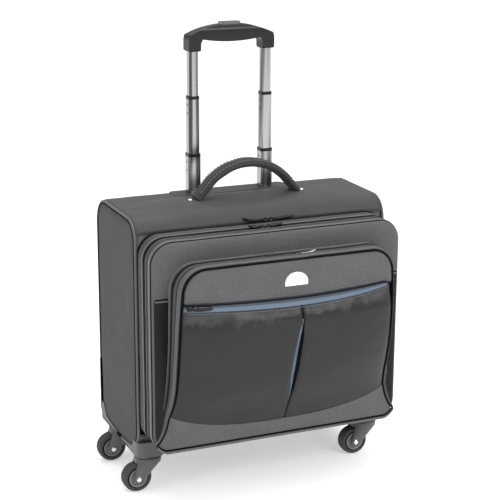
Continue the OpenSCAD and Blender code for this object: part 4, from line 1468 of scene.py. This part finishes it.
def build_badge():
    """A plain polished plate with a raised rim."""
    low, high = box("badge")
    cx = (low[0] + high[0]) / 2
    z0, z1 = low[2], high[2]
    half = (high[0] - low[0]) / 2
    outline = [(cx - half, z0), (cx - half * 0.9, z0 - 0.2), (cx + half * 0.9, z0 - 0.2), (cx + half, z0)]
    for i in range(1, 24):
        a = math.pi * i / 24
        outline.append((cx + half * math.cos(a), z0 + 3 + (z1 - z0 - 4.5) * math.sin(a) ** 0.8))
    outline = resample(outline, 90, True)
    centre = np.array([cx, (z0 + z1) / 2])
    verts = []
    base = face_y - pocket_depth(cx, (z0 + z1) / 2)
    for share, out in ((1.0, -1.5), (1.0, 1.5), (0.95, 2.1), (0.88, 2.1), (0.84, 1.6), (0.4, 1.7)):
        for p in outline:
            x, z = centre + (p - centre) * share
            verts.append((x, base - out, z))
    faces = grid_faces(6, 90, False, True) + [tuple(range(450, 540))]
    made = make("badge_plate", verts, faces, BADGE)
    tidy_normals(made)
    fit(made, "pocket", "badge_metal", "badge")


# ---- Finishes of the CAD pieces that stay ----
finishes = {
    PLASTIC: ("handle_bezel", "tube_bracket"),
    CUP: ("corner_cups", "fork_fl", "fork_fr", "fork_rl", "fork_rr"),
    STEEL: ("cup_screws", "swivel_pins", "lock_pins", "release_rods", "button_spring"),
    CHROME: ("axle_fl", "axle_fr", "axle_rl", "axle_rr"),
    COLLAR: ("stage_1_collars", "stage_2_collars", "stage_1_glides", "stage_2_glides", "stage_3_glides"),
    TUBE: ("base_tubes", "stage_1_tubes", "stage_2_tubes", "stage_3_tubes"),
    GRIP: ("grip_lower",), GRIP_TOP: ("grip_upper",), BUTTON: ("release_button",),
    WHEEL: ("hub_fl", "hub_fr", "hub_rl", "hub_rr"), TYRE: ("tyre_fl", "tyre_fr", "tyre_rl", "tyre_rr"),
    BOARD: ("base_board",), LINING: ("inner_lining",),
}
for finish, names in finishes.items():
    for node_name in names:
        nodes[node_name].data.materials.clear()
        nodes[node_name].data.materials.append(finish)

build_strap()
build_badge()


# ---- Wheels ----
def long_way(node_name):
    """Direction of the longest way through a node."""
    piece = nodes[node_name]
    points = np.array([tuple(piece.matrix_world @ v.co) for v in piece.data.vertices]) / MM
    return np.linalg.svd(points - points.mean(0), full_matrices=False)[2][0]


def lathe(name, outline, middle, axis, material, shades):
    """A closed (radius, place) outline turned about an axis."""
    sides = 72
    first = np.cross(axis, (0, 0, 1))
    first /= np.linalg.norm(first)
    second = np.cross(axis, first)
    verts = [middle + axis * a + r * (math.cos(t) * first + math.sin(t) * second)
             for r, a in outline for t in np.linspace(0, 2 * math.pi, sides, endpoint=False)]
    made = make(name, verts, grid_faces(len(outline), sides, True, True), material)
    indices = [shades[k // sides] for k in range(len(made.data.polygons))]
    made.data.polygons.foreach_set("material_index", indices)
    tidy_normals(made)
    return made


def build_wheel(corner):
    """Tyre with a crowned tread and a hub of stepped rings."""
    axis = long_way(f"axle_{corner}")
    low, high = box(f"tyre_{corner}")
    middle = np.array([(a + b) / 2 for a, b in zip(low, high)])
    r = (high[2] - low[2]) / 2
    hub_r = r - 7
    half = wheel_half
    side = [(hub_r, half - 2.6), (hub_r + 1.4, half - 0.2), (r - 3.6, half - 0.6), (r - 1.4, half - 2.4),
            (r - 0.4, half - 4.2), (r, 1.3), (r - 0.6, 0.8)]
    tyre = side + [(a, -b) for a, b in reversed(side)]
    made = lathe(f"wheel_tyre_{corner}", tyre, middle, axis, [TYRE], [0] * len(tyre))
    fit(made, f"wheel_{corner}", "tyre_rubber", f"tyre_{corner}")
    face = [(axle_half, half - 0.1), (7.4, half - 0.1), (8.2, half - 0.8), (8.6, half - 2.4),
            (hub_r - 4.9, half - 2.0), (hub_r - 4.4, half - 0.5),
            (hub_r - 1.6, half - 0.5), (hub_r - 1.2, half - 2.8), (hub_r - 0.1, half - 2.8)]
    hub = face + [(a, -b) for a, b in reversed(face)]
    # Black on the hub's step wall and in the groove beside the tyre: painted shade of these recesses.
    marks = [0, 0, 1, 0, 0, 0, 1, 1, 0, 1, 1, 0, 0, 0, 1, 0, 0, 0]
    made = lathe(f"wheel_hub_{corner}", hub, middle, axis, [WHEEL, BLACK_LACQUER_AND_SHADE], marks)
    fit(made, f"wheel_{corner}", "wheel_plastic", f"hub_{corner}")


for corner_name in ("fl", "fr", "rl", "rr"):
    build_wheel(corner_name)


# ---- Floor, light and camera ----
def plain_floor():
    mesh = bpy.data.meshes.new("floor")
    size = 60.0
    corners = [(-size, -size, 0), (size, -size, 0), (size, size, 0), (-size, size, 0)]
    mesh.from_pydata(corners, [], [(0, 1, 2, 3)])
    floor = bpy.data.objects.new("floor", mesh)
    bpy.context.scene.collection.objects.link(floor)
    s = Shader("floor_paper")
    s.set(Base_Color=(0.85, 0.85, 0.85, 1), Roughness=0.9, Specular_IOR_Level=0.1)
    s.set(Emission_Color=(1, 1, 1, 1), Emission_Strength=0.42)
    mesh.materials.append(s.material)


def area_light(name, place, target, size, power):
    data = bpy.data.lights.new(name, "AREA")
    data.shape = "RECTANGLE"
    data.size, data.size_y = size
    data.energy = power
    light = bpy.data.objects.new(name, data)
    light.location = place
    light.rotation_euler = (Vector(target) - Vector(place)).to_track_quat("-Z", "Y").to_euler()
    bpy.context.scene.collection.objects.link(light)


def studio():
    plain_floor()
    world = bpy.data.worlds.new("studio")
    world.use_nodes = True
    tree = world.node_tree
    place = tree.nodes.new("ShaderNodeTexCoord")
    split = tree.nodes.new("ShaderNodeSeparateXYZ")
    rise = tree.nodes.new("ShaderNodeMapRange")
    for socket, v in (("From Min", 0.0), ("From Max", 0.8), ("To Min", 0.2), ("To Max", 1.0)):
        rise.inputs[socket].default_value = v
    tree.links.new(place.outputs["Generated"], split.inputs[0])
    tree.links.new(split.outputs["Z"], rise.inputs["Value"])
    tree.links.new(rise.outputs[0], tree.nodes["Background"].inputs[1])
    tree.nodes["Background"].inputs[0].default_value = (1, 1, 1, 1)
    bpy.context.scene.world = world
    area_light("key", (0.9, -2.6, 1.9), (0, 0, 0.35), (1.2, 1.2), 34)
    area_light("top", (0.0, 0.3, 2.6), (0, 0, 0.4), (2.0, 2.0), 26)
    area_light("side", (-2.6, -0.6, 1.2), (0, 0, 0.35), (0.8, 1.8), 9)
    bpy.context.scene.view_settings.view_transform = "Standard"


def camera():
    """Three-quarter view from the front left, a little above the case."""
    azimuth, elevation, roll = math.radians(-23.35), math.radians(15.74), math.radians(0.29)
    target = Vector((4.84, -14.3, 365.44)) * MM
    back = Vector((math.sin(azimuth) * math.cos(elevation), -math.cos(azimuth) * math.cos(elevation),
                   math.sin(elevation)))
    right = Vector((math.cos(azimuth), math.sin(azimuth), 0))
    up = back.cross(right)
    tilted_right = right * math.cos(roll) + up * math.sin(roll)
    tilted_up = back.cross(tilted_right)
    data = bpy.data.cameras.new("view")
    data.lens = 102.26
    data.sensor_width = 36
    made = bpy.data.objects.new("view", data)
    turn = Matrix((tilted_right, tilted_up, back)).transposed().to_4x4()
    turn.translation = target + back * 2.32595
    made.matrix_world = turn
    bpy.context.scene.collection.objects.link(made)
    bpy.context.scene.camera = made


studio()
camera()
